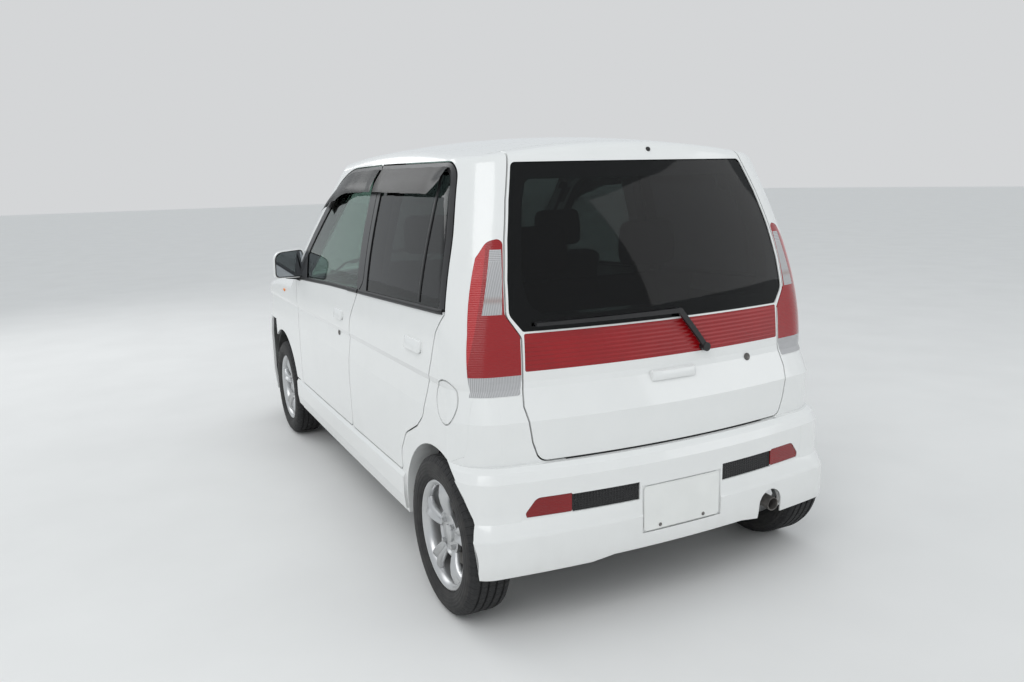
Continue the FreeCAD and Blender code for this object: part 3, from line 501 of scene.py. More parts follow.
@dataclass(frozen=True)
class TyreFinish:
    """Tyre rubber with cross sipes in the tread and rings on the wall, turned about one axle."""

    name: str
    axle_x: float
    axle_z: float = 0.266
    lugs: float = 66.0
    tread_radius: float = 0.2465
    sipe_depth: float = 0.005
    rings: float = 560.0
    rubber: Rgb = (0.018, 0.018, 0.019)
    dusted: Rgb = (0.042, 0.040, 0.038)

    def build(self) -> bpy.types.Material:
        """Makes the tyre material for that axle.

        Returns:
            The material.
        """
        found = bpy.data.materials.get(self.name)
        if found:
            return found
        material = bpy.data.materials.new(self.name)
        nodes = Nodes(material)
        nodes.shader.inputs["Roughness"].default_value = 0.8
        x = nodes.math("SUBTRACT", nodes.axis("X"), self.axle_x)
        z = nodes.math("SUBTRACT", nodes.axis("Z"), self.axle_z)
        squares = nodes.math("ADD", nodes.math("MULTIPLY", x, x), nodes.math("MULTIPLY", z, z))
        radius = nodes.math("SQRT", squares)
        angle = nodes.math("ARCTAN2", z, x)
        sipe = nodes.math("SINE", nodes.math("MULTIPLY", angle, self.lugs))
        sipe = nodes.step(sipe, 0.72, 0.5)
        tread = nodes.step(radius, self.tread_radius, 0.004)
        nodes.bump(nodes.inverse(nodes.math("MULTIPLY", sipe, tread)), self.sipe_depth)
        rings = nodes.math("SINE", nodes.math("MULTIPLY", radius, self.rings))
        nodes.bump(rings, 0.0006)
        nodes.bump(nodes.noise(800.0, 3.0), 0.00015)
        cleaner = nodes.inverse(nodes.math("MULTIPLY", tread, 0.4))
        dusty = nodes.math("MULTIPLY", nodes.noise(22.0, 5.0), cleaner)
        nodes.colour(nodes.ramp(dusty, [(0.3, self.rubber), (0.75, self.dusted)]))
        return material


DOOR_PAINT = DoorFinish()


def dress(node: str, finish: Finish | LampFinish | DoorFinish | TyreFinish) -> None:
    """Gives a CAD node its finish.

    Args:
        node: the CAD node's name.
        finish: the finish it takes.
    """
    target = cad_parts[node]
    material = finish.build()
    if not target.material_slots:
        target.data.materials.append(material)
    for slot in target.material_slots:
        slot.material = material


# Meshes
class Piece:
    """One new mesh, made with bmesh and then tied to a CAD body."""

    def __init__(self, name: str) -> None:
        """Starts an empty mesh."""
        self.name = name
        self.mesh = bmesh.new()

    def box(self, low: Xyz, high: Xyz, round_edge: float) -> "Piece":
        """Adds a box with rounded edges.

        Args:
            low: its lowest corner.
            high: its highest corner.
            round_edge: the edge radius in metres.

        Returns:
            The piece.
        """
        size = Vector(high) - Vector(low)
        centre = (Vector(high) + Vector(low)) / 2
        verts = bmesh.ops.create_cube(self.mesh, size=1.0)["verts"]
        bmesh.ops.scale(self.mesh, vec=size, verts=verts)
        bmesh.ops.translate(self.mesh, vec=centre, verts=verts)
        inside = set(verts)
        edges = [e for e in self.mesh.edges if e.verts[0] in inside and e.verts[1] in inside]
        bmesh.ops.bevel(self.mesh, geom=edges, offset=round_edge, offset_type="OFFSET", segments=3,
                        profile=0.5, affect="EDGES", material=-1, clamp_overlap=True)
        return self

    def rod(self, start: Xyz, end: Xyz, radius: float, tip: float | None = None,
            sides: int = 24) -> "Piece":
        """Adds a round bar between two points.

        Args:
            start: the middle of its first end.
            end: the middle of its other end.
            radius: its radius.
            tip: its radius at the other end, if it tapers.
            sides: faces round it.

        Returns:
            The piece.
        """
        a, b = Vector(start), Vector(end)
        turn = (b - a).to_track_quat("Z", "Y").to_matrix().to_4x4()
        bmesh.ops.create_cone(self.mesh, cap_ends=True, segments=sides, radius1=radius,
                              radius2=radius if tip is None else tip, depth=(b - a).length,
                              matrix=Matrix.Translation((a + b) / 2) @ turn)
        return self

    def spun(self, profile: list[Pair], centre: Xyz, axis: Xyz, out: Xyz, steps: int = 96) -> "Piece":
        """Adds a ring or disc turned from a closed or open profile.

        Args:
            profile: (distance along the axis, radius) points.
            centre: a point on the axis.
            axis: the axis direction.
            out: a direction square to the axis.
            steps: divisions of the turn.

        Returns:
            The piece.
        """
        c, n, o = Vector(centre), Vector(axis).normalized(), Vector(out).normalized()
        verts = [self.mesh.verts.new(c + n * along + o * radius) for along, radius in profile]
        edges = [self.mesh.edges.new((a, b)) for a, b in zip(verts, verts[1:] + verts[:1])]
        bmesh.ops.spin(self.mesh, geom=verts + edges, cent=c, axis=n, angle=math.tau, steps=steps,
                       use_merge=True)
        return self

    def sheet(self, rows: list[list[Xyz]], thick: float) -> "Piece":
        """Adds a curved sheet bridged between rows of points.

        Args:
            rows: rows with equal numbers of points.
            thick: wall thickness in metres.

        Returns:
            The piece.
        """
        grid = [[self.mesh.verts.new(p) for p in row] for row in rows]
        faces = []
        for lower, upper in zip(grid, grid[1:]):
            for i in range(len(lower) - 1):
                faces.append(self.mesh.faces.new((lower[i], lower[i + 1], upper[i + 1], upper[i])))
        bmesh.ops.solidify(self.mesh, geom=faces, thickness=thick)
        return self

    def loft(self, rings: list[list[Vector]]) -> "Piece":
        """Adds a skin bridged between closed rings of points, closed at both ends.

        Args:
            rings: closed rings with equal numbers of points.

        Returns:
            The piece.
        """
        loops = []
        for ring in rings:
            verts = [self.mesh.verts.new(p) for p in ring]
            loops.append([self.mesh.edges.new(pair) for pair in zip(verts, verts[1:] + verts[:1])])
        for a, b in zip(loops, loops[1:]):
            bmesh.ops.bridge_loops(self.mesh, edges=a + b)
        for end in (loops[0], loops[-1]):
            bmesh.ops.contextual_create(self.mesh, geom=end)
        return self

    def strip(self, path: list[Vector], normals: list[Vector], section: list[Pair]) -> "Piece":
        """Carries a small closed section along a path on the skin.

        Args:
            path: points along the strip.
            normals: the skin's outward normal at each point.
            section: (across, out) points of the section in metres.

        Returns:
            The piece.
        """
        rings = []
        for i, (point, normal) in enumerate(zip(path, normals)):
            ahead = path[min(i + 1, len(path) - 1)] - path[max(i - 1, 0)]
            across = normal.cross(ahead.normalized()).normalized()
            rings.append([point + across * a + normal * out for a, out in section])
        return self.loft(rings)

    def laid(self, hits: list[tuple[Vector, Vector]], section: list[Pair]) -> "Piece":
        """Carries a section along (point, normal) pairs found on a skin."""
        return self.strip([hit[0] for hit in hits], [hit[1] for hit in hits], section)

    def turn_about(self, start: int, centre: Xyz, axis: Xyz, angle: float, copies: int) -> "Piece":
        """Repeats everything from vertex number start round an axis.

        Args:
            start: the first vertex of what is repeated.
            centre: a point on the axis.
            axis: the axis direction.
            angle: degrees between copies.
            copies: how many are added.

        Returns:
            The piece.
        """
        self.mesh.verts.ensure_lookup_table()
        base = [v for v in self.mesh.verts if v.index >= start or v.index < 0]
        chosen = set(base)
        faces = [f for f in self.mesh.faces if all(v in chosen for v in f.verts)]
        geom = base + [e for e in self.mesh.edges if all(v in chosen for v in e.verts)] + faces
        for i in range(1, copies + 1):
            copy = bmesh.ops.duplicate(self.mesh, geom=geom)["geom"]
            verts = [g for g in copy if isinstance(g, bmesh.types.BMVert)]
            bmesh.ops.rotate(self.mesh, cent=centre, verts=verts,
                             matrix=Matrix.Rotation(math.radians(angle) * i, 3, Vector(axis)))
        return self

    def finish(self, body: str, look: Finish | TyreFinish, slot: str, replaces: tuple[str, ...] = (),
               smooth: float = 35.0) -> bpy.types.Object:
        """Makes the object, gives it its finish and ties it to its body.

        Args:
            body: the CAD body it rides on.
            look: its finish.
            slot: the record's material slot; not used.
            replaces: CAD nodes that it stands for.
            smooth: angle in degrees below which edges shade smooth.

        Returns:
            The new object.
        """
        bmesh.ops.remove_doubles(self.mesh, verts=self.mesh.verts, dist=1e-6)
        bmesh.ops.recalc_face_normals(self.mesh, faces=self.mesh.faces)
        limit = math.radians(smooth)
        for face in self.mesh.faces:
            face.smooth = True
        for edge in self.mesh.edges:
            if len(edge.link_faces) == 2 and edge.calc_face_angle(0.0) > limit:
                edge.smooth = False
        data = bpy.data.meshes.new(self.name)
        self.mesh.to_mesh(data)
        self.mesh.free()
        data.materials.append(look.build())
        made = bpy.data.objects.new(self.name, data)
        bpy.context.scene.collection.objects.link(made)
        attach(made, body)
        if replaces:
            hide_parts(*replaces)
        LOG.info("%s: %d faces on %s", self.name, len(data.polygons), body)
        return made


class Skin:
    """Finds places on the outside of some CAD nodes.

    Rays begin outside the car: at its side, behind, ahead or above. NUDGES are the small steps
    aside that a ray takes when it falls into a seam.
    """

    OUTSIDE_Y = 1.2
    OUTSIDE_X = 2.2
    OUTSIDE_Z = 2.0
    CREST_FROM = 1.560
    CREST_STEP = 0.002
    CREST_LEAST = 0.2
    NUDGES = (0.0, 0.0015, -0.0015, 0.004, -0.004)

    def __init__(self, *nodes: str) -> None:
        """Gathers the nodes' triangles."""
        points, faces = [], []
        for node in nodes:
            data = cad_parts[node].data
            base = len(points)
            points += [v.co.copy() for v in data.vertices]
            faces += [[base + i for i in p.vertices] for p in data.polygons]
        self.tree = BVHTree.FromPolygons(points, faces)

    def cast(self, start: Xyz, toward: Xyz) -> tuple[Vector, Vector]:
        """Finds what is first met from start, or just beside it over a seam.

        Args:
            start: where the ray begins.
            toward: its direction.

        Returns:
            The point met and the normal that faces the ray.
        """
        for nudge in self.NUDGES:
            begin = Vector(start) + Vector((nudge, 0, nudge))
            point, normal, _, _ = self.tree.ray_cast(begin, Vector(toward).normalized())
            if point is not None:
                break
        else:
            raise ValueError(f"nothing is met from {start}")
        if normal.dot(Vector(toward)) > 0:
            normal = -normal
        return point, normal

    def beside(self, x: float, z: float, side: Side) -> tuple[Vector, Vector]:
        """Returns the side's point at x and z."""
        return self.cast((x, side.value * self.OUTSIDE_Y, z), (0, -side.value, 0))

    def glance(self, x: float, z: float, side: Side) -> tuple[Vector | None, Vector | None]:
        """Looks in from the side without any nudge.

        Args:
            x: place along the car.
            z: height.
            side: which side of the car.

        Returns:
            The point met and its normal, or None for both.
        """
        start = Vector((x, side.value * self.OUTSIDE_Y, z))
        return self.tree.ray_cast(start, Vector((0, -side.value, 0)))[:2]

    def trace(self, places: Iterable[Pair], side: Side) -> list[tuple[Vector, Vector]]:
        """Follows a line over the side, where the skin is met.

        Args:
            places: the (x, z) places to look at, in order.
            side: which side of the car.

        Returns:
            A point and a normal for each place that lies on the skin.
        """
        met = []
        for x, z in places:
            point, normal = self.glance(x, z, side)
            if point is not None:
                met.append((point, normal if normal.y * side.value > 0 else -normal))
        return met

    def crest(self, x: float, side: Side) -> float:
        """Finds the top of the side at one place.

        Args:
            x: place along the car.
            side: which side of the car.

        Returns:
            The greatest height at which the side is met.
        """
        z = self.CREST_FROM
        while self.glance(x, z, side)[0] is None:
            z -= self.CREST_STEP
            if z < self.CREST_LEAST:
                raise ValueError(f"no skin at x {x}")
        return z

    def behind(self, y: float, z: float) -> tuple[Vector, Vector]:
        """Returns the back's point at y and z."""
        return self.cast((-self.OUTSIDE_X, y, z), (1, 0, 0))

    def ahead(self, y: float, z: float) -> tuple[Vector, Vector]:
        """Returns the nose's point at y and z."""
        return self.cast((self.OUTSIDE_X, y, z), (-1, 0, 0))

    def above(self, x: float, y: float) -> tuple[Vector, Vector]:
        """Returns the top's point at x and y."""
        return self.cast((x, y, self.OUTSIDE_Z), (0, 0, -1))


# Sub-assemblies
@dataclass
class BodyShell:
    """The painted panels, glass and lamps that come straight from the CAD nodes."""

    painted: tuple[str, ...] = (
        "side_frame_left", "side_frame_right", "fuel_lid", "door_front_left", "door_front_right",
        "door_rear_left", "door_rear_right", "roof_panel", "tailgate", "front_fenders", "bonnet",
        "front_bumper", "rear_bumper", "side_skirts", "mirror_left", "mirror_right")
    dark: tuple[str, ...] = ("window_rear_left", "window_rear_right", "tailgate_glass")
    green: tuple[str, ...] = ("window_front_left", "window_front_right", "windscreen")

    def build(self) -> None:
        """Dresses the shell's nodes."""
        for node in self.painted:
            dress(node, DOOR_PAINT if node.startswith("door_") else WHITE)
        for node in self.dark:
            dress(node, DARK_GLASS)
        for node in self.green:
            dress(node, GREEN_GLASS)
        dress("tail_lamps", REAR_LENS)
        dress("tailgate_garnish", RED_GARNISH)
        dress("reflectors", RED_LENS)
        dress("bumper_insert", MESH)
        dress("grille", MESH)
        dress("cowl_panel", BLACK_TRIM)
        dress("rear_wiper", BLACK_TRIM)
        LOG.info("body shell dressed")


@dataclass
class RunningGear:
    """Suspension, exhaust, engine and floor, seen from below and through the arches."""

    def build(self) -> None:
        """Dresses the running gear."""
        for node in ("underbody", "rear_wheelhouses", "engine_bay"):
            dress(node, UNDERSEAL)
        for node in ("suspension", "knuckle_left", "knuckle_right", "exhaust", "engine_block"):
            dress(node, STEEL)
        LOG.info("running gear dressed")


@dataclass
class Padding:
    """One upholstered block: an outline seen from the side, carried across the seat and puffed up.

    Outline points are (x, z) in metres; y0 and y1 are its two ends. The plain block is narrower
    by slack at each end, because the cover swells. Seams are distances from its middle.
    """

    name: str
    outline: tuple[Pair, ...]
    y0: float
    y1: float
    round_edge: float = 0.035
    slack: float = 0.012
    voxel: float = 0.009
    pressure: float = 3.5
    last_frame: int = 14
    cap: float = 0.012
    seams: tuple[float, ...] = ()
    seam_half: float = 0.007
    seam_depth: float = 0.007

    def block(self) -> bpy.types.Object:
        """Makes the plain rounded block, remeshed evenly.

        Returns:
            The block's object.
        """
        mesh = bmesh.new()
        verts = [mesh.verts.new((x, self.y0 + self.slack, z)) for x, z in self.outline]
        face = mesh.faces.new(verts)
        made = bmesh.ops.extrude_face_region(mesh, geom=[face])["geom"]
        moved = [g for g in made if isinstance(g, bmesh.types.BMVert)]
        bmesh.ops.translate(mesh, vec=(0, self.y1 - self.y0 - 2 * self.slack, 0), verts=moved)
        bmesh.ops.bevel(mesh, geom=list(mesh.edges), offset=self.round_edge, segments=4, profile=0.5,
                        affect="EDGES", material=-1, clamp_overlap=True)
        bmesh.ops.recalc_face_normals(mesh, faces=mesh.faces)
        data = bpy.data.meshes.new(self.name)
        mesh.to_mesh(data)
        mesh.free()
        made_object = bpy.data.objects.new(self.name, data)
        bpy.context.scene.collection.objects.link(made_object)
        remesh = made_object.modifiers.new("even", "REMESH")
        remesh.mode = "VOXEL"
        remesh.voxel_size = self.voxel
        self.bake(made_object)
        return made_object

    @staticmethod
    def bake(target: bpy.types.Object) -> None:
        """Applies the modifiers of an object to its mesh.

        Args:
            target: the object.
        """
        bpy.context.view_layer.update()
        evaluated = target.evaluated_get(bpy.context.evaluated_depsgraph_get())
        data = bpy.data.meshes.new_from_object(evaluated)
        target.modifiers.clear()
        target.data = data

    def puff(self, target: bpy.types.Object) -> None:
        """Lets cloth under pressure round the block, and caps how far a point may move.

        Args:
            target: the remeshed block.
        """
        rest = [v.co.copy() for v in target.data.vertices]
        cloth = target.modifiers.new("cover", "CLOTH")
        settings = cloth.settings
        settings.effector_weights.gravity = 0
        settings.use_pressure = True
        settings.uniform_pressure_force = self.pressure
        settings.quality = 4
        scene = bpy.context.scene
        for step in range(1, self.last_frame + 1):
            scene.frame_set(step)
        self.bake(target)
        scene.frame_set(1)
        for vert, home in zip(target.data.vertices, rest):
            move = vert.co - home
            if move.length > self.cap:
                vert.co = home + move * (self.cap / move.length)

    def sew(self, target: bpy.types.Object) -> None:
        """Draws the cover in along its seams.

        Args:
            target: the puffed block.
        """
        middle = (self.y0 + self.y1) / 2
        normals = [v.normal.copy() for v in target.data.vertices]
        for vert, normal in zip(target.data.vertices, normals):
            depth = 0.0
            for seam in self.seams:
                gap = (vert.co.y - middle - seam) / self.seam_half
                depth = max(depth, math.exp(-gap * gap))
            if depth > 0.01 and abs(normal.y) < 0.6:
                vert.co -= normal * depth * self.seam_depth

    def build(self, body: str, replaces: tuple[str, ...] = ()) -> bpy.types.Object:
        """Makes the finished padded piece.

        Args:
            body: the CAD body it rides on.
            replaces: CAD nodes that it stands for.

        Returns:
            The padded object.
        """
        made = self.block()
        self.puff(made)
        self.sew(made)
        for polygon in made.data.polygons:
            polygon.use_smooth = True
        made.data.materials.clear()
        made.data.materials.append(FABRIC.build())
        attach(made, body)
        if replaces:
            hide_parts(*replaces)
        LOG.info("%s: %d faces padded", self.name, len(made.data.polygons))
        return made

    def shifted(self, made: bpy.types.Object, name: str, move: float, body: str) -> bpy.types.Object:
        """Copies a finished piece across the car.

        Args:
            made: the finished piece.
            name: the copy's name.
            move: how far the copy moves along Y.
            body: the CAD body it rides on.

        Returns:
            The copy.
        """
        data = made.data.copy()
        data.transform(Matrix.Translation((0, move, 0)))
        copy = bpy.data.objects.new(name, data)
        bpy.context.scene.collection.objects.link(copy)
        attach(copy, body)
        return copy


@dataclass
class Cabin:
    """Seats, dashboard and steering wheel.

    Outlines are (x, z) points seen from the side. A rest is the (x, z) of a headrest's foot.
    Halves are half widths, and seams are distances from a seat's middle.
    """

    front_cushion: tuple[Pair, ...] = (
        (0.300, 0.300), (0.310, 0.440), (0.250, 0.500), (-0.190, 0.470), (-0.230, 0.300))
    front_back: tuple[Pair, ...] = (
        (-0.215, 0.400), (-0.120, 0.470), (-0.250, 1.080), (-0.385, 1.075), (-0.300, 0.500))
    rear_cushion: tuple[Pair, ...] = (
        (-0.610, 0.424), (-0.590, 0.520), (-0.640, 0.565), (-1.040, 0.545), (-1.060, 0.424))
    rear_back: tuple[Pair, ...] = (
        (-1.050, 0.470), (-0.960, 0.540), (-1.080, 1.060), (-1.200, 1.060), (-1.110, 0.500))
    front_y: float = 0.320
    rear_y: float = 0.240
    front_rest: Pair = (-0.330, 1.105)
    rear_rest: Pair = (-1.150, 1.085)
    cushion_half: float = 0.245
    back_half: float = 0.240
    bench_half: float = 0.465
    rest_half: float = 0.125
    front_seams: tuple[float, ...] = (-0.14, 0.14)
    rear_seams: tuple[float, ...] = (-0.26, 0.0, 0.26)

    def build(self) -> None:
        """Dresses the dashboard and wheel, and upholsters the seats."""
        dress("dashboard", CABIN)
        dress("steering_wheel", LEATHER)
        y = self.front_y
        front = [self.seat("seat_front_cushion_left", self.front_cushion, self.cushion_half),
                 self.seat("seat_front_back_left", self.front_back, self.back_half),
                 self.headrest("headrest_front_left", self.front_rest, y)]
        for padding in front:
            made = padding.build("body", ("front_seats",) if "cushion" in padding.name else ())
            padding.shifted(made, padding.name.replace("left", "right"), -2 * y, "body")
        half = self.bench_half
        for name, outline in (("seat_rear_cushion", self.rear_cushion), ("seat_rear_back", self.rear_back)):
            bench = Padding(name, outline, -half, half, seams=self.rear_seams)
            bench.build("body", ("rear_seat",) if "cushion" in name else ())
        rest = self.headrest("headrest_rear_left", self.rear_rest, self.rear_y)
        rest.shifted(rest.build("body"), "headrest_rear_right", -2 * self.rear_y, "body")
        self.make_frames()

    def seat(self, name: str, outline: tuple[Pair, ...], half: float) -> Padding:
        """Describes a block of the left front seat.

        Args:
            name: the piece's name.
            outline: its shape seen from the side.
            half: half its width.

        Returns:
            The block, not yet made.
        """
        return Padding(name, outline, self.front_y - half, self.front_y + half, seams=self.front_seams)

    def headrest(self, name: str, foot: Pair, y: float) -> Padding:
        """Describes a headrest.

        Args:
            name: the piece's name.
            foot: the (x, z) of its foot.
            y: its middle across the car.

        Returns:
            The headrest, not yet made.
        """
        x, z = foot
        outline = ((x - 0.042, z), (x + 0.042, z), (x + 0.048, z + 0.080), (x + 0.030, z + 0.165),
                   (x - 0.030, z + 0.165), (x - 0.046, z + 0.080))
        return Padding(name, outline, y - self.rest_half, y + self.rest_half, 0.03, cap=0.006)

    def make_frames(self) -> None:
        """Makes the seat runners and the headrests' posts."""
        runners = Piece("seat_runners")
        posts = Piece("headrest_posts")
        for side in Side:
            y = side.value * self.front_y
            for shift in (-0.17, 0.17):
                runners.box((-0.150, y + shift - 0.020, 0.231), (0.250, y + shift + 0.020, 0.262), 0.004)
                runners.box((-0.120, y + shift - 0.012, 0.258), (0.220, y + shift + 0.012, 0.325), 0.004)
            for (x, z), middle in ((self.front_rest, y), (self.rear_rest, side.value * self.rear_y)):
                for shift in (-0.05, 0.05):
                    posts.rod((x, middle + shift, z - 0.055), (x, middle + shift, z + 0.030), 0.006)
        runners.finish("body", STEEL, "chassis_steel")
        posts.finish("body", CHROME, "alloy")


@dataclass
class Wheel:
    """One wheel: the alloy rim with five twin-ribbed spokes, and the grooved tyre.

    Profiles are (along the axle, radius) points, turned once round. A spoke row is (radius, half
    width, face, rib height), from the hub out to the barrel.
    """

    corner: str
    x: float
    side: Side
    track_half: float = 0.6525
    hub_z: float = 0.266
    spokes: int = 5
    nuts: int = 4
    nut_circle: float = 0.050
    grooves: tuple[float, ...] = (0.040, 0.013, -0.014, -0.041)
    groove_half: Pair = (0.0042, 0.0030)
    tread_radius: float = 0.2658
    groove_radius: float = 0.2598
    spoke_rows: tuple[tuple[float, ...], ...] = (
        (0.062, 0.020, 0.037, 0.002), (0.080, 0.0215, 0.043, 0.006), (0.105, 0.025, 0.050, 0.008),
        (0.130, 0.030, 0.0535, 0.008), (0.150, 0.036, 0.0515, 0.007), (0.166, 0.043, 0.0470, 0.005))

    @property
    def centre(self) -> Vector:
        """The wheel's middle."""
        return Vector((self.x, self.side.value * self.track_half, self.hub_z))

    @property
    def outward(self) -> Vector:
        """The axle direction away from the car."""
        return Vector((0, self.side.value, 0))

    def build(self) -> None:
        """Makes the tyre, the rim and the brake disc."""
        self.make_tyre()
        self.make_rim()
        self.make_disc()

    def turned(self, piece: Piece, profile: list[Pair], steps: int) -> None:
        """Turns a profile round the axle.

        Args:
            piece: what it is added to.
            profile: its points.
            steps: faces round the axle.
        """
        piece.spun(profile, self.centre, self.outward, (1, 0, 0), steps)

    def make_tyre(self) -> None:
        """Turns the tyre with four grooves round its tread."""
        tread = [(0.0775, 0.222), (0.0760, 0.236), (0.0720, 0.246), (0.0665, 0.2535), (0.0600, 0.2618)]
        top, foot = self.groove_half
        grooves = []
        for place in self.grooves:
            grooves += [(place + top, self.tread_radius), (place + foot, self.groove_radius),
                        (place - foot, self.groove_radius), (place - top, self.tread_radius)]
        low = [(-a, r) for a, r in reversed(tread)]
        wall = [(0.0573, 0.1845), (0.0655, 0.1846), (0.0668, 0.1900), (0.0722, 0.1955), (0.0765, 0.2080)]
        inner = [(-a, r) for a, r in reversed(wall)]
        bead = [(-0.0565, 0.1712), (0.0565, 0.1712)]
        piece = Piece("tyre_tread_" + self.corner)
        self.turned(piece, wall + tread + grooves + low + inner + bead, 96)
        finish = TyreFinish("tyre_front" if self.x > 0 else "tyre_rear", self.x)
        piece.finish("wheel_" + self.corner, finish, "tyre", ("tyre_" + self.corner,), 50)

    def make_rim(self) -> None:
        """Makes barrel, spokes, hub and nuts."""
        piece = Piece("rim_face_" + self.corner)
        barrel = [(0.0572, 0.1840), (0.0622, 0.1838), (0.0640, 0.1800), (0.0625, 0.1745), (0.0570, 0.1690),
                  (0.0520, 0.1640), (0.0400, 0.1600), (0.0300, 0.1590), (-0.0100, 0.1520), (-0.0560, 0.1600),
                  (-0.0625, 0.1680), (-0.0625, 0.1838), (-0.0575, 0.1838), (-0.0570, 0.1708),
                  (0.0570, 0.1708)]
        self.turned(piece, barrel, 96)
        hub = [(0.0280, 0.0001), (0.0430, 0.0001), (0.0430, 0.0230), (0.0405, 0.0290), (0.0340, 0.0310),
               (0.0330, 0.0640), (0.0390, 0.0700), (0.0380, 0.0760), (0.0240, 0.0760), (0.0240, 0.0310)]
        self.turned(piece, hub, 64)
        start = len(piece.mesh.verts)
        self.add_spoke(piece)
        piece.mesh.verts.index_update()
        piece.turn_about(start, self.centre, self.outward, 360 / self.spokes, self.spokes - 1)
        for i in range(self.nuts):
            angle = math.radians(45 + 90 * i)
            foot = self.centre + Vector((math.cos(angle), 0, math.sin(angle))) * self.nut_circle
            piece.rod(foot + self.outward * 0.028, foot + self.outward * 0.048, 0.0098, 0.0088, 6)
        piece.finish("wheel_" + self.corner, ALLOY, "alloy", ("rim_" + self.corner,), 40)

    def make_disc(self) -> None:
        """Makes the brake disc seen between the spokes."""
        disc = Piece("brake_disc_" + self.corner)
        self.turned(disc, [(-0.008, 0.030), (-0.008, 0.112), (0.002, 0.112), (0.002, 0.070),
                           (0.022, 0.066), (0.022, 0.030)], 64)
        disc.finish("wheel_" + self.corner, STEEL, "chassis_steel")

    def add_spoke(self, piece: Piece) -> None:
        """Bridges one spoke, two ribs with a valley between, from hub to barrel.

        Args:
            piece: the rim that it is added to.
        """
        along = Vector((0, 0, 1))
        across = along.cross(self.outward)
        rings = []
        for radius, half, face, rib in self.spoke_rows:
            section = [(-half, face - 0.016), (-half, face - 0.004), (-half * 0.82, face + rib * 0.5),
                       (-half * 0.58, face + rib), (-half * 0.34, face + rib * 0.4), (0, face - rib * 0.9),
                       (half * 0.34, face + rib * 0.4), (half * 0.58, face + rib),
                       (half * 0.82, face + rib * 0.5), (half, face - 0.004), (half, face - 0.016)]
            rings.append([self.centre + along * radius + across * a + self.outward * out
                          for a, out in section])
        piece.loft(rings)


def key_lock(name: str, hit: tuple[Vector, Vector], radii: tuple[float, ...], body: str) -> None:
    """Sets a key cylinder into a skin.

    Args:
        name: the piece's name.
        hit: the place on the skin and its normal.
        radii: of the key's face, the dish round it, the collar's rim and the collar.
        body: the CAD body it rides on.
    """
    face, dish, rim, collar = radii
    piece = Piece(name)
    piece.spun([(-0.002, 0.0001), (0.0012, 0.0001), (0.0012, face), (0.0026, dish), (0.0032, rim),
                (0.0016, collar), (-0.002, collar)], *hit, (0, 0, 1), 28)
    piece.finish(body, STEEL, "chassis_steel")


@dataclass(frozen=True)
class DoorPlan:
    """Where one door's trim lies.

    The belt and the visor are (front end, rear end) along the car; the handle is (middle x, middle
    z, length).
    """

    name: str
    belt: Pair
    handle: Xyz
    visor: Pair


DOOR_PLANS = (DoorPlan("front", (0.545, -0.610), (-0.259, 0.867, 0.124), (0.10, -0.580)),
              DoorPlan("rear", (-0.520, -1.405), (-1.1745, 0.8835, 0.150), (-0.612, -1.262)))


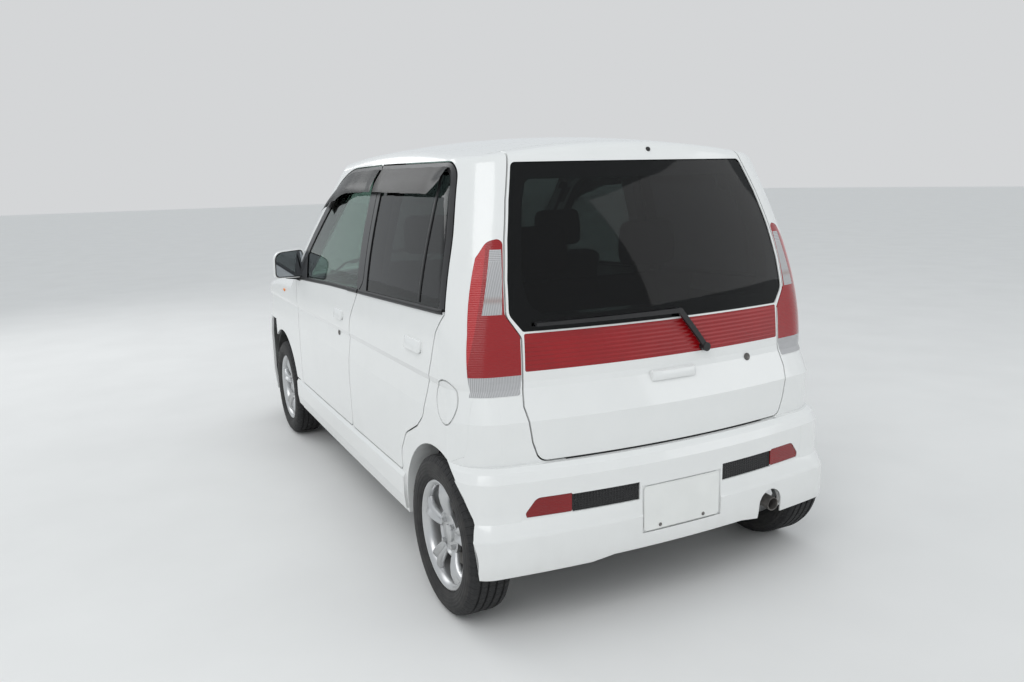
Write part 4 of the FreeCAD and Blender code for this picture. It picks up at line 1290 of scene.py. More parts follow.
@dataclass
class DoorTrim:
    """What is fixed to one side's doors: handles, belt moulding, visors, lock and division bar.

    The belt and the bar are lines of (x, z) points. Sections are (up, out) points. The handle
    keeps only a share of its depth near its ends, as handle_ends says by place along it.
    """

    side: Side
    belt: tuple[Pair, ...] = ((0.560, 0.947), (-0.100, 0.978), (-0.550, 0.992), (-1.410, 1.0187))
    belt_steps: int = 120
    belt_section: tuple[Pair, ...] = (
        (-0.0085, -0.002), (-0.0085, 0.0045), (-0.0062, 0.0066), (-0.0012, 0.0066), (-0.0004, 0.0044),
        (0.0004, 0.0044), (0.0012, 0.0060), (0.0062, 0.0052), (0.0085, 0.0020), (0.0085, -0.002))
    handle_height: float = 0.040
    handle_places: tuple[float, ...] = (-0.5, -0.47, -0.4, -0.2, 0.0, 0.2, 0.4, 0.47, 0.5)
    handle_ends: tuple[Pair, ...] = ((0.5, 0.45), (0.47, 0.75), (0.4, 0.95))
    # Section of the black strip of painted shade laid under each handle's lower lip.
    gap_section: tuple[Pair, ...] = ((-0.0022, -0.001), (-0.0022, 0.0006), (0.0022, 0.0006), (0.0022, -0.001))
    visor_steps: int = 22
    visor_top: float = 0.012
    visor_drop: float = 0.092
    visor_tip_drop: float = 0.030
    visor_thick: float = 0.0025
    lock_at: Pair = (-0.236, 0.780)
    lock_radii: tuple[float, ...] = (0.0060, 0.0072, 0.0100, 0.0118)
    bar_foot: Pair = (-1.201, 1.026)
    bar_run: Pair = (-0.012, 0.410)
    bar_section: tuple[Pair, ...] = ((-0.008, -0.001), (-0.008, 0.0025), (-0.004, 0.0042), (0.004, 0.0042),
                                     (0.008, 0.0025), (0.008, -0.001))

    def build(self) -> None:
        """Makes every trim piece of this side."""
        word = self.side.word
        self.skins = {end: Skin(f"door_{end}_{word}", f"window_{end}_{word}") for end in ("front", "rear")}
        for make in (self.make_belt, self.make_handle, self.make_visor):
            for plan in DOOR_PLANS:
                make(plan)
        key_lock(f"door_lock_{word}", self.skins["front"].beside(*self.lock_at, self.side),
                 self.lock_radii, self.body("front"))
        self.make_bar()

    def body(self, door: str) -> str:
        """Returns the name of a door's CAD body."""
        return f"{door}_{self.side.word}_door"

    def belt_z(self, x: float) -> float:
        """Finds the height of the belt line.

        Args:
            x: place along the car.

        Returns:
            The height there.
        """
        for (x0, z0), (x1, z1) in zip(self.belt, self.belt[1:]):
            if x >= x1:
                return z0 + (z1 - z0) * (x - x0) / (x1 - x0)
        return self.belt[-1][1]

    def make_belt(self, plan: DoorPlan) -> None:
        """Runs the black moulding along the foot of a window.

        Args:
            plan: the door's places.
        """
        start, end = plan.belt
        steps = self.belt_steps
        places = [start + (end - start) * i / steps for i in range(steps + 1)]
        hits = self.skins[plan.name].trace(((x, self.belt_z(x)) for x in places), self.side)
        piece = Piece(f"belt_{plan.name}_{self.side.word}")
        piece.laid(hits, self.belt_section)
        piece.finish(self.body(plan.name), BLACK_TRIM, "black_trim")

    def make_handle(self, plan: DoorPlan) -> None:
        """Makes a lift-up handle, a rounded flap that leans out to its lower lip, and a black strip of
        painted shade under that lip.

        Args:
            plan: the door's places.
        """
        x, z, length = plan.handle
        skin = self.skins[plan.name]
        ends = dict(self.handle_ends)
        up = Vector((0, 0, 1))
        rings = []
        for share in self.handle_places:
            squeeze = ends.get(abs(share), 1.0)
            point, normal = skin.beside(x + share * length, z, self.side)
            half = self.handle_height / 2 * (0.75 if abs(share) == 0.5 else 1.0)
            outline = [(half, -0.003), (half, 0.003), (half * 0.7, 0.0065), (0, 0.0095),
                       (-half * 0.7, 0.0135), (-half, 0.0125), (-half, 0.0080), (-half * 0.6, 0.0040),
                       (-half * 0.5, -0.003)]
            rings.append([point + up * a + normal * (out if out < 0 else out * squeeze)
                          for a, out in outline])
        piece = Piece(f"handle_{plan.name}_{self.side.word}")
        piece.loft(rings)
        piece.finish(self.body(plan.name), WHITE, "paint", smooth=50)
        # Painted shade: a thin black strip on the skin just under the handle's lower lip, standing in for the
        # shadow in the gap there.
        shadow = Piece(f"handle_gap_{plan.name}_{self.side.word}")
        foot = z - self.handle_height * 0.47
        shadow.laid([skin.beside(x + share * length * 0.9, foot, self.side)
                     for share in (-0.5, -0.25, 0, 0.25, 0.5)], self.gap_section)
        shadow.finish(self.body(plan.name), BLACK_TRIM, "black_trim")

    def make_visor(self, plan: DoorPlan) -> None:
        """Curves a smoked rain visor along the top of a window.

        The front one grows from its tip over its first steps, the rear one shrinks over its last.

        Args:
            plan: the door's places.
        """
        start, end = plan.visor
        steps = self.visor_steps
        skin = self.skins[plan.name]
        rows: list[list[Vector]] = [[], [], [], [], []]
        for i in range(steps + 1):
            x = start + (end - start) * i / steps
            top = skin.crest(x, self.side) - self.visor_top
            if plan.name == "front":
                drop = self.visor_tip_drop + (self.visor_drop - self.visor_tip_drop) * min(1.0, i / 6)
            else:
                drop = self.visor_drop * min(1.0, (steps - i) / 4 + 0.25) ** 0.5
            for k, row in enumerate(rows):
                share = k / 4
                point, normal = skin.beside(x, top - drop * share, self.side)
                row.append(point + normal * (0.003 + 0.024 * math.sin(share * math.pi / 2)))
        piece = Piece(f"visor_{plan.name}_{self.side.word}")
        piece.sheet(rows, self.visor_thick)
        piece.finish(self.body(plan.name), SMOKE, "dark_glass", smooth=60)

    def make_bar(self) -> None:
        """Fits the division bar of the rear window."""
        (x, z), (along, up) = self.bar_foot, self.bar_run
        piece = Piece(f"division_bar_{self.side.word}")
        piece.laid([self.skins["rear"].beside(x + along * i / 8, z + up * i / 8, self.side)
                    for i in range(9)], self.bar_section)
        piece.finish(self.body("rear"), BLACK_TRIM, "black_trim")


@dataclass
class RearTrim:
    """What is fixed to the tailgate and the rear bumper.

    Places are (y, z). The grip's ends keep only a share of its depth, as grip_places says.
    """

    plate_size: Pair = (0.305, 0.152)
    plate_z: float = 0.361
    plate_off: float = 0.0035
    plate_thick: float = 0.0014
    plate_corner: float = 0.012
    bolt_y: float = 0.088
    bolt_up: float = 0.012
    grip_y: Pair = (-0.099, 0.077)
    grip_z: Pair = (0.763, 0.794)
    grip_places: tuple[Pair, ...] = ((0.0, 0.5), (0.02, 0.85), (0.06, 1.0), (0.25, 1.0), (0.5, 1.0),
                                     (0.75, 1.0), (0.94, 1.0), (0.98, 0.85), (1.0, 0.5))
    lock_at: Pair = (-0.347, 0.787)
    lock_radii: tuple[float, ...] = (0.0065, 0.0080, 0.0112, 0.0130)
    nozzle_at: Pair = (-0.052, 1.501)

    def build(self) -> None:
        """Makes the rear trim."""
        self.gate = Skin("tailgate", "tailgate_glass", "tailgate_garnish")
        self.make_plate()
        self.make_grip()
        key_lock("tailgate_lock", self.gate.behind(*self.lock_at), self.lock_radii, "tailgate_body")
        self.make_nozzle()

    def make_plate(self) -> None:
        """Makes a blank plate with a raised rim and its two bolts."""
        wide, high = self.plate_size
        face = Skin("rear_bumper").behind(0.0, self.plate_z)[0].x - self.plate_off
        piece = Piece("plate_blank")
        mesh = piece.mesh
        made = bmesh.ops.create_cube(mesh, size=1.0)["verts"]
        bmesh.ops.scale(mesh, vec=(self.plate_thick, wide, high), verts=made)
        bmesh.ops.translate(mesh, vec=(face, 0, self.plate_z), verts=made)
        corners = [e for e in mesh.edges if abs(e.verts[0].co.x - e.verts[1].co.x) > 0.001]
        bmesh.ops.bevel(mesh, geom=corners, offset=self.plate_corner, segments=6, profile=0.5,
                        affect="EDGES", material=-1)
        bmesh.ops.recalc_face_normals(mesh, faces=mesh.faces)
        outer = [f for f in mesh.faces if f.normal.x < -0.9 and f.calc_area() > 0.01]
        bmesh.ops.inset_region(mesh, faces=outer, thickness=0.0035, depth=0.0)
        bmesh.ops.inset_region(mesh, faces=outer, thickness=0.0008, depth=-0.0006)
        piece.finish("body", PLATE_WHITE, "paint")
        bolts = Piece("plate_bolts")
        for y in (-self.bolt_y, self.bolt_y):
            head = [(-0.001, 0.0001), (0.0034, 0.0001), (0.0030, 0.0042), (0.0012, 0.0062), (-0.001, 0.0062)]
            bolts.spun(head, (face, y, self.plate_z - high / 2 + self.bolt_up), (-1, 0, 0), (0, 0, 1), 20)
        bolts.finish("body", STEEL, "chassis_steel")

    def make_grip(self) -> None:
        """Makes the body-coloured grip of the tailgate."""
        (y0, y1), (z0, z1) = self.grip_y, self.grip_z
        half = (z1 - z0) / 2
        middle = (z0 + z1) / 2
        outline = [(half, 0.004), (half, -0.010), (half * 0.75, -0.0145), (-half * 0.6, -0.0165),
                   (-half, -0.0150), (-half, -0.0110), (-half * 0.5, 0.004)]
        rings = []
        for share, squeeze in self.grip_places:
            y = y0 + (y1 - y0) * share
            x = self.gate.behind(y, middle)[0].x
            rings.append([Vector((x + out * squeeze, y, middle + a)) for a, out in outline])
        piece = Piece("tailgate_grip")
        piece.loft(rings)
        piece.finish("tailgate_body", WHITE, "paint", smooth=45)

    def make_nozzle(self) -> None:
        """Sets the washer nozzle above the rear glass."""
        piece = Piece("washer_nozzle")
        piece.spun([(-0.002, 0.0001), (0.0075, 0.0001), (0.0070, 0.0035), (0.0045, 0.0065), (0.0010, 0.0085),
                    (-0.002, 0.0085)], *self.gate.behind(*self.nozzle_at), (0, 1, 0), 24)
        piece.finish("tailgate_body", BLACK_TRIM, "black_trim")


@dataclass
class FrontTrim:
    """Headlamps, intake, wipers and turn repeaters at the nose.

    A lamp is met by rays aimed at lamp_centre, fanned out from ahead to the side. Bowls are
    (middle y, radius). A wiper is (side, pivot, elbow, tip), each place an (x, y).
    """

    lamp_z: Pair = (0.6535, 0.7905)
    lamp_centre: Pair = (1.475, 0.392)
    lamp_fan: Pair = (2.0, 84.0)
    lamp_rows: int = 7
    lamp_columns: int = 28
    cover_inset: float = 0.0006
    housing_inset: float = 0.042
    bowls: tuple[Pair, ...] = ((0.455, 0.052), (0.560, 0.046))
    repeater_at: Pair = (0.880, 0.850)
    intake_z: float = 0.272
    intake_rows: tuple[float, ...] = (0.228, 0.250, 0.272, 0.294, 0.316)
    intake_bars: tuple[float, ...] = (0.248, 0.272, 0.296)
    intake_half: float = 0.43
    bar_half: float = 0.425
    intake_taper: float = 0.35
    bar_section: tuple[Pair, ...] = ((-0.005, -0.001), (-0.004, 0.0035), (0.004, 0.0035), (0.005, -0.001))
    wipers: tuple[tuple[str, Pair, Pair, Pair], ...] = (
        ("left", (0.770, 0.480), (0.690, 0.420), (0.630, -0.040)),
        ("right", (0.770, -0.060), (0.690, -0.120), (0.640, -0.520)))
    wiper_lift: float = 0.016
    blade_section: tuple[Pair, ...] = ((-0.0035, 0.001), (-0.0035, 0.0135), (0.0035, 0.0135), (0.0035, 0.001))

    def build(self) -> None:
        """Makes the front trim."""
        self.lamps = Skin("headlamps")
        for side in Side:
            self.make_lamp(side)
            self.make_repeater(side)
        self.make_intake()
        self.make_wipers()

    def lamp_grid(self, side: Side, inset: float) -> list[list[Vector]]:
        """Finds points over a lamp's face, each moved in from it.

        Args:
            side: which lamp.
            inset: how far the points lie inside the face.

        Returns:
            The rows of points, from foot to top.
        """
        z0, z1 = self.lamp_z
        x, y = self.lamp_centre
        first, sweep = self.lamp_fan
        grid = []
        for i in range(self.lamp_rows):
            z = z0 + (z1 - z0) * i / (self.lamp_rows - 1)
            row = []
            for j in range(self.lamp_columns):
                angle = math.radians(first + sweep * (j / (self.lamp_columns - 1)))
                toward = Vector((math.cos(angle), side.value * math.sin(angle), 0))
                start = Vector((x, side.value * y, z)) + toward * 0.5
                point, normal = self.lamps.tree.ray_cast(start, -toward)[:2]
                if point is not None:
                    outward = normal if normal.dot(toward) > 0 else -normal
                    row.append(point - outward * inset)
            grid.append(row)
        least = min(len(row) for row in grid)
        return [row[:least] for row in grid]

    def make_lamp(self, side: Side) -> None:
        """Makes a lamp's clear cover, its bright housing and two bowls.

        Args:
            side: which lamp.
        """
        cover = Piece("headlamp_cover_" + side.word)
        cover.sheet(self.lamp_grid(side, self.cover_inset), 0.0025)
        cover.finish("body", CLEAR_COVER, "clear_lens", ("headlamps",), 50)
        housing = Piece("headlamp_housing_" + side.word)
        housing.sheet(self.lamp_grid(side, self.housing_inset), 0.003)
        housing.finish("body", CHROME_SATIN, "clear_lens", smooth=50)
        bowls = Piece("headlamp_bowls_" + side.word)
        for y, radius in self.bowls:
            point, _ = self.lamps.ahead(side.value * y, (self.lamp_z[0] + self.lamp_z[1]) / 2)
            profile = [(-0.046, 0.010), (-0.030, radius * 0.62), (-0.012, radius * 0.93), (-0.008, radius),
                       (-0.011, radius), (-0.033, radius * 0.60), (-0.049, 0.010)]
            bowls.spun(profile, point, (1, 0, 0), (0, 0, 1), 48)
            bowls.rod(point - Vector((0.047, 0, 0)), point - Vector((0.022, 0, 0)), 0.0065, 0.005, 16)
        bowls.finish("body", CHROME, "clear_lens", smooth=50)

    def make_repeater(self, side: Side) -> None:
        """Sets the amber repeater into the fender.

        Args:
            side: which fender.
        """
        skin = Skin("front_fenders")
        x, z = self.repeater_at
        rings = []
        for share in (-1.0, -0.85, -0.5, 0.0, 0.5, 0.85, 1.0):
            point, normal = skin.beside(x + share * 0.020, z, side)
            half = 0.010 * math.sqrt(max(0.05, 1 - share * share))
            rings.append([point + Vector((0, 0, a * half)) + normal * out for a, out in (
                (1.0, -0.001), (0.95, 0.003), (0.5, 0.006), (-0.5, 0.006), (-0.95, 0.003), (-1.0, -0.001))])
        piece = Piece("repeater_" + side.word)
        piece.loft(rings)
        piece.finish("body", AMBER_LENS, "red_lens", smooth=60)

    def across(self, skin: Skin, z: float, half: float) -> list[Vector]:
        """Finds points across the bumper, over less width away from the intake's middle.

        Args:
            skin: the bumper.
            z: their height.
            half: half the width at the intake's middle.

        Returns:
            The points, from right to left.
        """
        reach = half - abs(z - self.intake_z) * self.intake_taper
        return [skin.ahead(y * reach / 12, z)[0] for y in range(-12, 13)]

    def make_intake(self) -> None:
        """Lays the dark intake and its bars over the front bumper."""
        skin = Skin("front_bumper")
        off = Vector((0.0006, 0, 0))
        mesh = Piece("intake_mesh")
        mesh.sheet([[point + off for point in self.across(skin, z, self.intake_half)]
                    for z in self.intake_rows], 0.001)
        mesh.finish("body", MESH, "black_trim", smooth=50)
        bars = Piece("intake_bars")
        for z in self.intake_bars:
            path = self.across(skin, z, self.bar_half)
            bars.strip(path, [Vector((1, 0, 0))] * len(path), self.bar_section)
        bars.finish("body", BLACK_TRIM, "black_trim", smooth=50)

    @staticmethod
    def along(skin: Skin, start: Pair, end: Pair, shares: Iterable[float]) -> list[tuple[Vector, Vector]]:
        """Finds places on the screen along a line seen from above.

        Args:
            skin: the screen and the cowl.
            start: the line's first (x, y).
            end: its last (x, y).
            shares: how far along the line each place lies.

        Returns:
            The places and their normals.
        """
        return [skin.above(start[0] + (end[0] - start[0]) * share, start[1] + (end[1] - start[1]) * share)
                for share in shares]

    def make_wipers(self) -> None:
        """Rests the two front wipers along the foot of the windscreen."""
        skin = Skin("windscreen", "cowl_panel")
        for word, pivot, elbow, tip in self.wipers:
            piece = Piece("front_wiper_" + word)
            for start, end, wide in ((pivot, elbow, 0.008), (elbow, tip, 0.006)):
                hits = [(point + normal * self.wiper_lift, normal)
                        for point, normal in self.along(skin, start, end, (i / 6 for i in range(7)))]
                piece.laid(hits, [(-wide, -0.003), (-wide, 0.002), (0, 0.004), (wide, 0.002), (wide, -0.003)])
            piece.laid(self.along(skin, elbow, tip, (0.06 + 0.92 * i / 8 for i in range(9))),
                       self.blade_section)
            piece.spun([(-0.002, 0.0001), (-0.002, 0.012), (0.014, 0.012), (0.019, 0.008), (0.020, 0.0001)],
                       *skin.above(*pivot), (0, 1, 0), 24)
            piece.finish("body", BLACK_TRIM, "black_trim")


@dataclass
class DoorCard:
    """The trim panel and its armrest on the inside of one door.

    low and high are the (x, z) of two opposite corners. The armrest follows one row of the
    panel's points, between two of its columns.
    """

    side: Side
    door: str
    low: Pair
    high: Pair
    rows: int = 11
    columns: int = 19
    inside_y: float = 0.35
    bulge_z: float = 0.62
    bulge_half: float = 0.06
    rest_row: int = 5
    rest_columns: tuple[int, int] = (3, 14)
    rest_section: tuple[Pair, ...] = (
        (-0.030, 0.0), (-0.026, 0.030), (-0.012, 0.042), (0.014, 0.042), (0.026, 0.030), (0.030, 0.0))

    def build(self) -> None:
        """Lays the panel over the door's inner face, with an armrest across it."""
        name = f"{self.door}_{self.side.word}"
        skin = Skin("door_" + name)
        (x0, z0), (x1, z1) = self.low, self.high
        first, last = self.rest_columns
        grid, rest_hits = [], []
        for i in range(self.rows):
            row = []
            z = z0 + (z1 - z0) * i / (self.rows - 1)
            bulge = 0.004 + 0.012 * math.exp(-((z - self.bulge_z) / self.bulge_half) ** 2)
            for j in range(self.columns):
                x = x0 + (x1 - x0) * j / (self.columns - 1)
                point, normal = skin.cast((x, self.side.value * self.inside_y, z), (0, self.side.value, 0))
                row.append(point + normal * bulge)
                if i == self.rest_row and first <= j <= last:
                    rest_hits.append((point + normal * 0.014, normal))
            grid.append(row)
        card = Piece("door_card_" + name)
        card.sheet(grid, 0.003)
        card.finish(name + "_door", CABIN, "cabin_plastic", smooth=60)
        rest = Piece("armrest_" + name)
        rest.laid(rest_hits, self.rest_section)
        rest.finish(name + "_door", LEATHER, "cabin_plastic", smooth=60)


@dataclass
class BumperSkirt:
    """The lower band of the rear bumper, carried round its corners to the wheel arches.

    A row is (height, rearmost x, half width, bow radius, corner radius); in plan it is a shallow
    bow between two corner arcs. An edge point is (height, x) on the wheel arch. Above the ledge
    the rows run back into the bumper. notch_y is the middle of the opening for the exhaust.
    """

    rows: tuple[tuple[float, ...], ...] = (
        (0.220, -1.687, 0.738, 4.2, 0.10), (0.248, -1.6925, 0.739, 4.2, 0.10),
        (0.342, -1.6950, 0.734, 4.2, 0.10), (0.349, -1.692, 0.731, 4.2, 0.10),
        (0.394, -1.69075, 0.7335, 3.0, 0.1288), (0.514, -1.693, 0.735, 3.0, 0.140))
    edge: tuple[Pair, ...] = ((0.220, -1.612), (0.266, -1.616), (0.303, -1.614), (0.342, -1.602),
                              (0.405, -1.580), (0.475, -1.5495), (0.514, -1.514))
    low: float = 0.220
    low_rise: float = 0.012
    rise_end: float = 0.340
    rise_run: float = 0.078
    notch_y: float = -0.400
    notch_z: float = 0.262
    notch_radius: float = 0.056
    under_ledge: float = 0.338
    ledge: Pair = (0.342, 0.349)
    band_top: float = 0.394
    panel_foot: float = 0.390
    panel_high: float = 0.124
    below_bay: tuple[float, ...] = (0.232, 0.245, 0.264, 0.282)
    rear_limit: float = -1.6930
    bay: float = 0.160
    turn_y: float = 0.570
    columns: int = 96
    corner_columns: int = 16
    proud: float = 0.0004
    panel_proud: float = 0.0003
    thick: float = 0.004

    @staticmethod
    def between(table: tuple[tuple[float, ...], ...], z: float) -> tuple[float, ...]:
        """Reads a table at a height, in a straight line between its rows.

        Args:
            table: rows that begin with their height.
            z: the height.

        Returns:
            The rest of a row at that height.
        """
        for low, high in zip(table, table[1:]):
            if z <= high[0]:
                share = (z - low[0]) / (high[0] - low[0])
                return tuple(a + (b - a) * share for a, b in zip(low[1:], high[1:]))
        return table[-1][1:]

    def foot(self, y: float) -> float:
        """Finds the lower edge of the band, which rises over the exhaust.

        Args:
            y: place across the car.

        Returns:
            The edge's height there.
        """
        low = self.low + self.low_rise * min(1.0, max(0.0, (self.rise_end - abs(y)) / self.rise_run))
        aside = abs(y - self.notch_y)
        if aside < self.notch_radius:
            low = max(low, self.notch_z + math.sqrt(self.notch_radius ** 2 - aside ** 2))
        return low

    def point(self, y: float, z: float, share: float, out: float) -> Vector:
        """Finds a point of the band.

        Args:
            y: the column's place across the car, with its sign.
            z: the height.
            share: how far the column lies on from turn_y to the arch, or 0.
            out: how far the point lies outside the bumper's own surface.

        Returns:
            The point.
        """
        rear, half, bow, corner = self.between(self.rows, z)
        edge, = self.between(self.edge, z)
        bow_x = rear + bow
        middle = half - corner
        arc_x = bow_x - math.sqrt((bow - corner) ** 2 - middle ** 2)
        tangent = middle * bow / (bow - corner)
        reach = middle + math.sqrt(max(0.0, corner ** 2 - (edge - arc_x) ** 2))
        side = math.copysign(1.0, y)
        place = self.turn_y + (reach - self.turn_y) * share if share else abs(y)
        if place > tangent:
            centre = Vector((arc_x, side * middle, z))
            x = arc_x - math.sqrt(max(0.0, corner ** 2 - (place - middle) ** 2))
        else:
            centre = Vector((bow_x, 0, z))
            x = bow_x - math.sqrt(bow ** 2 - place ** 2)
        found = Vector((x, side * place, z))
        found += (found - centre).normalized() * out
        found.x = max(found.x, self.rear_limit)
        return found

    def ring(self, heights: tuple[float, ...], y: float, share: float, proud: float) -> list[Vector]:
        """Makes one column's closed section, up its outside and down its inside.

        Args:
            heights: the heights of the outside's points, from foot to top.
            y: the column's place across the car.
            share: how far the column lies on from turn_y to the arch, or 0.
            proud: how far the outside lies off the bumper.

        Returns:
            The section's points.
        """
        inside = (heights[-1], (heights[0] + heights[-1]) / 2, heights[0])
        return [self.point(y, z, share, proud) for z in heights] + [
            self.point(y, z, share, -self.thick) for z in inside]

    def band(self, y: float, share: float = 0.0) -> list[Vector]:
        """Makes the band's section, from its lower edge to where it runs into the bumper.

        Args:
            y: the column's place across the car.
            share: how far the column lies on from turn_y to the arch, or 0.

        Returns:
            The section's points.
        """
        low = self.foot(y)
        lower = (low, low + 0.003, *(low + (self.under_ledge - low) * k / 5 for k in range(1, 6)))
        above = self.ledge[1]
        upper = (above + (self.band_top - above) * k / 6 for k in range(1, 7))
        return self.ring((*lower, *self.ledge, *upper), y, share, self.proud)

    def build(self) -> None:
        """Makes the band beside and below the plate bay, and the corners above it."""
        piece = Piece("bumper_skirt")
        corner = [i / self.corner_columns or 1e-6 for i in range(self.corner_columns + 1)]
        panel = tuple(self.panel_foot + self.panel_high * k / 8 for k in range(9))
        for side in Side:
            turn = side.value * self.turn_y
            beside = [side.value * (self.bay + (self.turn_y - self.bay) * i / self.columns)
                      for i in range(self.columns)]
            piece.loft([self.band(y) for y in beside] + [self.band(turn, share) for share in corner])
            piece.loft([self.ring(panel, turn, share, self.panel_proud) for share in corner])
        below = [self.bay * (i / 12 - 1) or 1e-6 for i in range(25)]
        piece.loft([self.ring(self.below_bay, y, 0.0, self.proud) for y in below])
        piece.finish("body", WHITE, "paint", smooth=30)


@dataclass
class Mirror:
    """One door mirror: a boxy shell on a black foot, with its glass set into the rear.

    An outline corner is (y, z, how much of it is rounded). A shell ring is (place from rear to
    front, scale). A face is (its name, place behind the shell, scale, look, slot). A foot ring is
    (y, lower z, upper z).
    """

    side: Side
    outline: tuple[Xyz, ...] = ((0.690, 0.955, 0.018), (0.700, 1.100, 0.020), (0.846, 1.088, 0.045),
                                (0.850, 0.957, 0.022))
    corner_steps: int = 7
    middle: Pair = (0.772, 1.026)
    shell: tuple[Pair, ...] = ((0.0, 0.975), (0.03, 1.0), (0.33, 1.0), (0.52, 0.965), (0.70, 0.88),
                               (0.85, 0.76), (0.95, 0.60), (1.0, 0.44))
    faces: tuple[tuple[str, float, float, Finish, str], ...] = (
        ("surround", -0.0006, 0.945, BLACK_TRIM, "black_trim"),
        ("glass", -0.0012, 0.880, MIRROR, "screen_glass"))
    foot: tuple[Xyz, ...] = ((0.690, 0.930, 0.965), (0.715, 0.932, 0.966), (0.745, 0.945, 0.968),
                             (0.790, 0.952, 0.968))
    plate_z: float = 0.962
    plate_high: float = 0.110

    def rounded(self) -> list[Pair]:
        """Rounds the corners of the outline.

        Returns:
            The outline as (y, z) points.
        """
        found = []
        steps = self.corner_steps
        corners = [Vector(p[:2]) for p in self.outline]
        for i, (_, _, radius) in enumerate(self.outline):
            here, before, after = corners[i], corners[i - 1], corners[(i + 1) % len(corners)]
            start = here + (before - here).normalized() * radius
            end = here + (after - here).normalized() * radius
            for k in range(steps + 1):
                t = k / steps
                found.append(tuple(start * (1 - t) ** 2 + here * 2 * t * (1 - t) + end * t * t))
        return found

    def ring(self, x: float, scale: float) -> list[Vector]:
        """Sets the outline across the car, scaled about its middle.

        Args:
            x: place along the car.
            scale: its scale there.

        Returns:
            The ring's points.
        """
        middle = Vector(self.middle)
        points = [middle + (Vector(p) - middle) * scale for p in self.rounded()]
        return [Vector((x, self.side.value * y, z)) for y, z in points]

    def build(self) -> None:
        """Makes the shell, the surround, the glass, the foot and the corner plate behind it."""
        word = self.side.word
        body = f"front_{word}_door"
        low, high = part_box("mirror_" + self.side.word)
        shell = Piece("mirror_shell_" + word)
        shell.loft([self.ring(low.x + (high.x - low.x) * place, scale) for place, scale in self.shell])
        shell.finish(body, WHITE, "paint", ("mirror_" + word,), smooth=50)
        for name, place, scale, look, slot in self.faces:
            face = Piece(f"mirror_{name}_{word}")
            face.loft([self.ring(low.x + place, scale), self.ring(low.x + 0.004, scale)])
            face.finish(body, look, slot)
        foot = Piece("mirror_foot_" + word)
        foot.loft([[Vector((low.x + x, self.side.value * y, z)) for x, z in (
            (0.020, bottom), (0.020, top), (0.075, top), (0.080, bottom))] for y, bottom, top in self.foot])
        foot.finish(body, BLACK_TRIM, "black_trim")
        plate = Piece("mirror_plate_" + word)
        plate.sheet(self.plate_rows(), 0.003)
        plate.finish(body, BLACK_TRIM, "black_trim", smooth=50)

    def plate_rows(self) -> list[list[Vector]]:
        """Finds the points of the corner plate over the front of the window.

        Returns:
            The rows of points, which grow shorter upward.
        """
        skin = Skin(f"door_front_{self.side.word}", f"window_front_{self.side.word}")
        rows = []
        for i in range(7):
            z = self.plate_z + self.plate_high * i / 6
            front, back = 0.530 - 0.185 * i / 6, 0.330 + 0.010 * i / 6
            hits = [skin.beside(front + (back - front) * j / 8, z, self.side) for j in range(9)]
            rows.append([point + normal * 0.004 for point, normal in hits])
        return rows


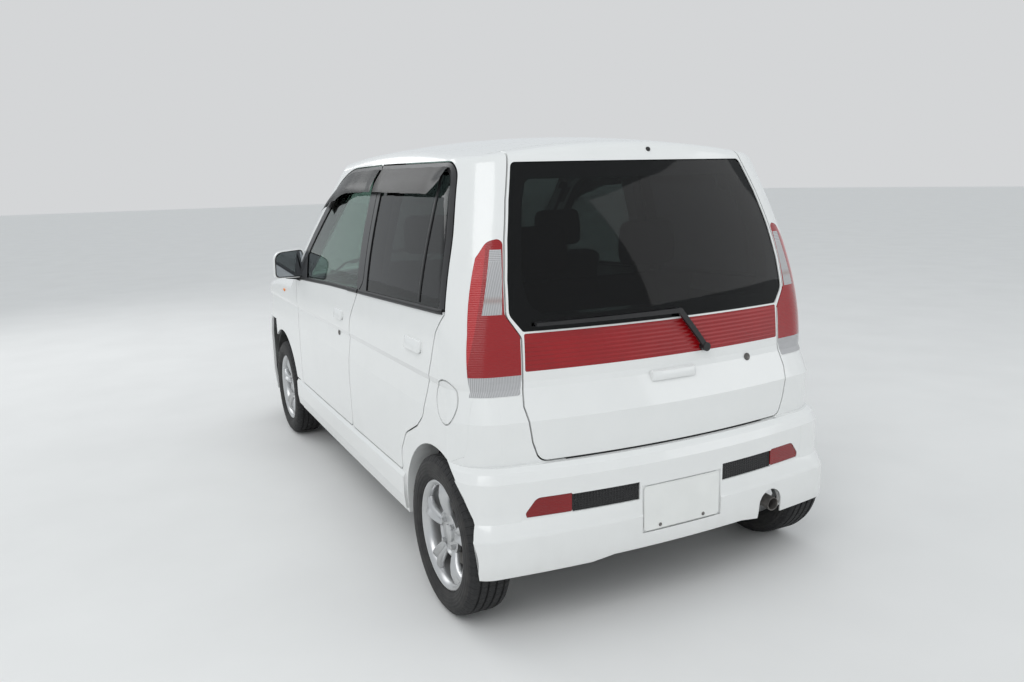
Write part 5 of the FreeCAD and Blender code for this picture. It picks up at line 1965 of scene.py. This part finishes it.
@dataclass
class Studio:
    """The pale floor, the soft lights and the camera at the photographed angle.

    A lamp is (name, place, size, power). Angles are in degrees.
    """

    floor_size: float = 60.0
    floor_low: Rgb = (0.80, 0.80, 0.79)
    floor_high: Rgb = (0.83, 0.83, 0.82)
    floor_rough: float = 0.9
    sky_light: Rgb = (0.93, 0.97, 1.0)
    sky_power: float = 0.72
    sky_seen: Rgb = (0.66, 0.67, 0.68)
    lamps: tuple[tuple[str, Xyz, float, float], ...] = (
        ("key", (-4.5, 4.0, 5.5), 4.0, 120), ("fill", (-5.0, -4.5, 3.5), 4.0, 45),
        ("nose", (5.0, 3.0, 4.5), 4.0, 80))
    lamp_target: Xyz = (0, 0, 0.7)
    eye: Xyz = (-3.7413, 1.6349, 1.4097)
    yaw: float = -26.5
    pitch: float = -11.0
    roll: float = -1.5
    lens: float = 29.04
    sensor: float = 36.0

    def build(self) -> None:
        """Makes the floor, world, lights and camera."""
        self.make_floor()
        self.make_world()
        self.make_lights()
        self.make_camera()

    def make_floor(self) -> None:
        """Lays a plain pale floor that stays pale to the camera."""
        mesh = bmesh.new()
        bmesh.ops.create_grid(mesh, x_segments=1, y_segments=1, size=self.floor_size)
        data = bpy.data.meshes.new("floor")
        mesh.to_mesh(data)
        mesh.free()
        material = bpy.data.materials.new("floor_pale")
        nodes = Nodes(material)
        nodes.shader.inputs["Roughness"].default_value = self.floor_rough
        nodes.colour(nodes.ramp(nodes.noise(2.0), [(0.3, self.floor_low), (0.7, self.floor_high)]))
        data.materials.append(material)
        floor = bpy.data.objects.new("floor", data)
        bpy.context.scene.collection.objects.link(floor)

    def make_world(self) -> None:
        """Sets an even pale sky, of one colour to the camera and another as light."""
        world = bpy.data.worlds.new("sky")
        bpy.context.scene.world = world
        world.use_nodes = True
        tree = world.node_tree
        tree.nodes.clear()
        output = tree.nodes.new("ShaderNodeOutputWorld")
        mixer = tree.nodes.new("ShaderNodeMixShader")
        path = tree.nodes.new("ShaderNodeLightPath")
        tree.links.new(path.outputs["Is Camera Ray"], mixer.inputs[0])
        for i, (colour, power) in enumerate(((self.sky_light, self.sky_power), (self.sky_seen, 1.0))):
            background = tree.nodes.new("ShaderNodeBackground")
            background.inputs["Color"].default_value = (*colour, 1)
            background.inputs["Strength"].default_value = power
            tree.links.new(background.outputs[0], mixer.inputs[i + 1])
        tree.links.new(mixer.outputs[0], output.inputs[0])

    def make_lights(self) -> None:
        """Hangs three large soft lamps."""
        for name, place, size, power in self.lamps:
            lamp = bpy.data.lights.new(name, "AREA")
            lamp.size = size
            lamp.energy = power
            holder = bpy.data.objects.new(name, lamp)
            holder.location = place
            holder.rotation_mode = "QUATERNION"
            toward = Vector(self.lamp_target) - Vector(place)
            holder.rotation_quaternion = toward.to_track_quat("-Z", "Y")
            bpy.context.scene.collection.objects.link(holder)

    def make_camera(self) -> None:
        """Places the camera where the photograph was taken."""
        yaw, pitch, roll = (math.radians(a) for a in (self.yaw, self.pitch, self.roll))
        forward = Vector((math.cos(pitch) * math.cos(yaw), math.cos(pitch) * math.sin(yaw), math.sin(pitch)))
        right = forward.cross(Vector((0, 0, 1))).normalized()
        above = right.cross(forward)
        image_right = right * math.cos(roll) + above * math.sin(roll)
        image_up = above * math.cos(roll) - right * math.sin(roll)
        data = bpy.data.cameras.new("camera")
        data.lens = self.lens
        data.sensor_width = self.sensor
        camera = bpy.data.objects.new("camera", data)
        camera.rotation_mode = "QUATERNION"
        camera.rotation_quaternion = Matrix((image_right, image_up, -forward)).transposed().to_quaternion()
        camera.location = self.eye
        bpy.context.scene.collection.objects.link(camera)
        bpy.context.scene.camera = camera
        bpy.context.scene.view_settings.view_transform = "Standard"


# Each wheel's corner, axle x and side; each door card's door, low corner and high corner.
WHEELS = (("fl", 1.02, Side.LEFT), ("fr", 1.02, Side.RIGHT),
          ("rl", -1.34, Side.LEFT), ("rr", -1.34, Side.RIGHT))
CARDS = (("front", (0.500, 0.470), (-0.330, 0.900)), ("rear", (-0.605, 0.640), (-1.120, 0.930)))


def main() -> None:
    """Builds every sub-assembly in order."""
    logging.basicConfig(level=logging.INFO, format="%(message)s")
    wheels = [Wheel(*wheel) for wheel in WHEELS]
    trims = [kind(side) for kind in (DoorTrim, Mirror) for side in Side]
    cards = [DoorCard(side, *card) for side in Side for card in CARDS]
    for part in (Studio(), BodyShell(), RunningGear(), Cabin(), *wheels, *trims, *cards, RearTrim(),
                 BumperSkirt(), FrontTrim()):
        part.build()


if __name__ == "__main__":
    main()
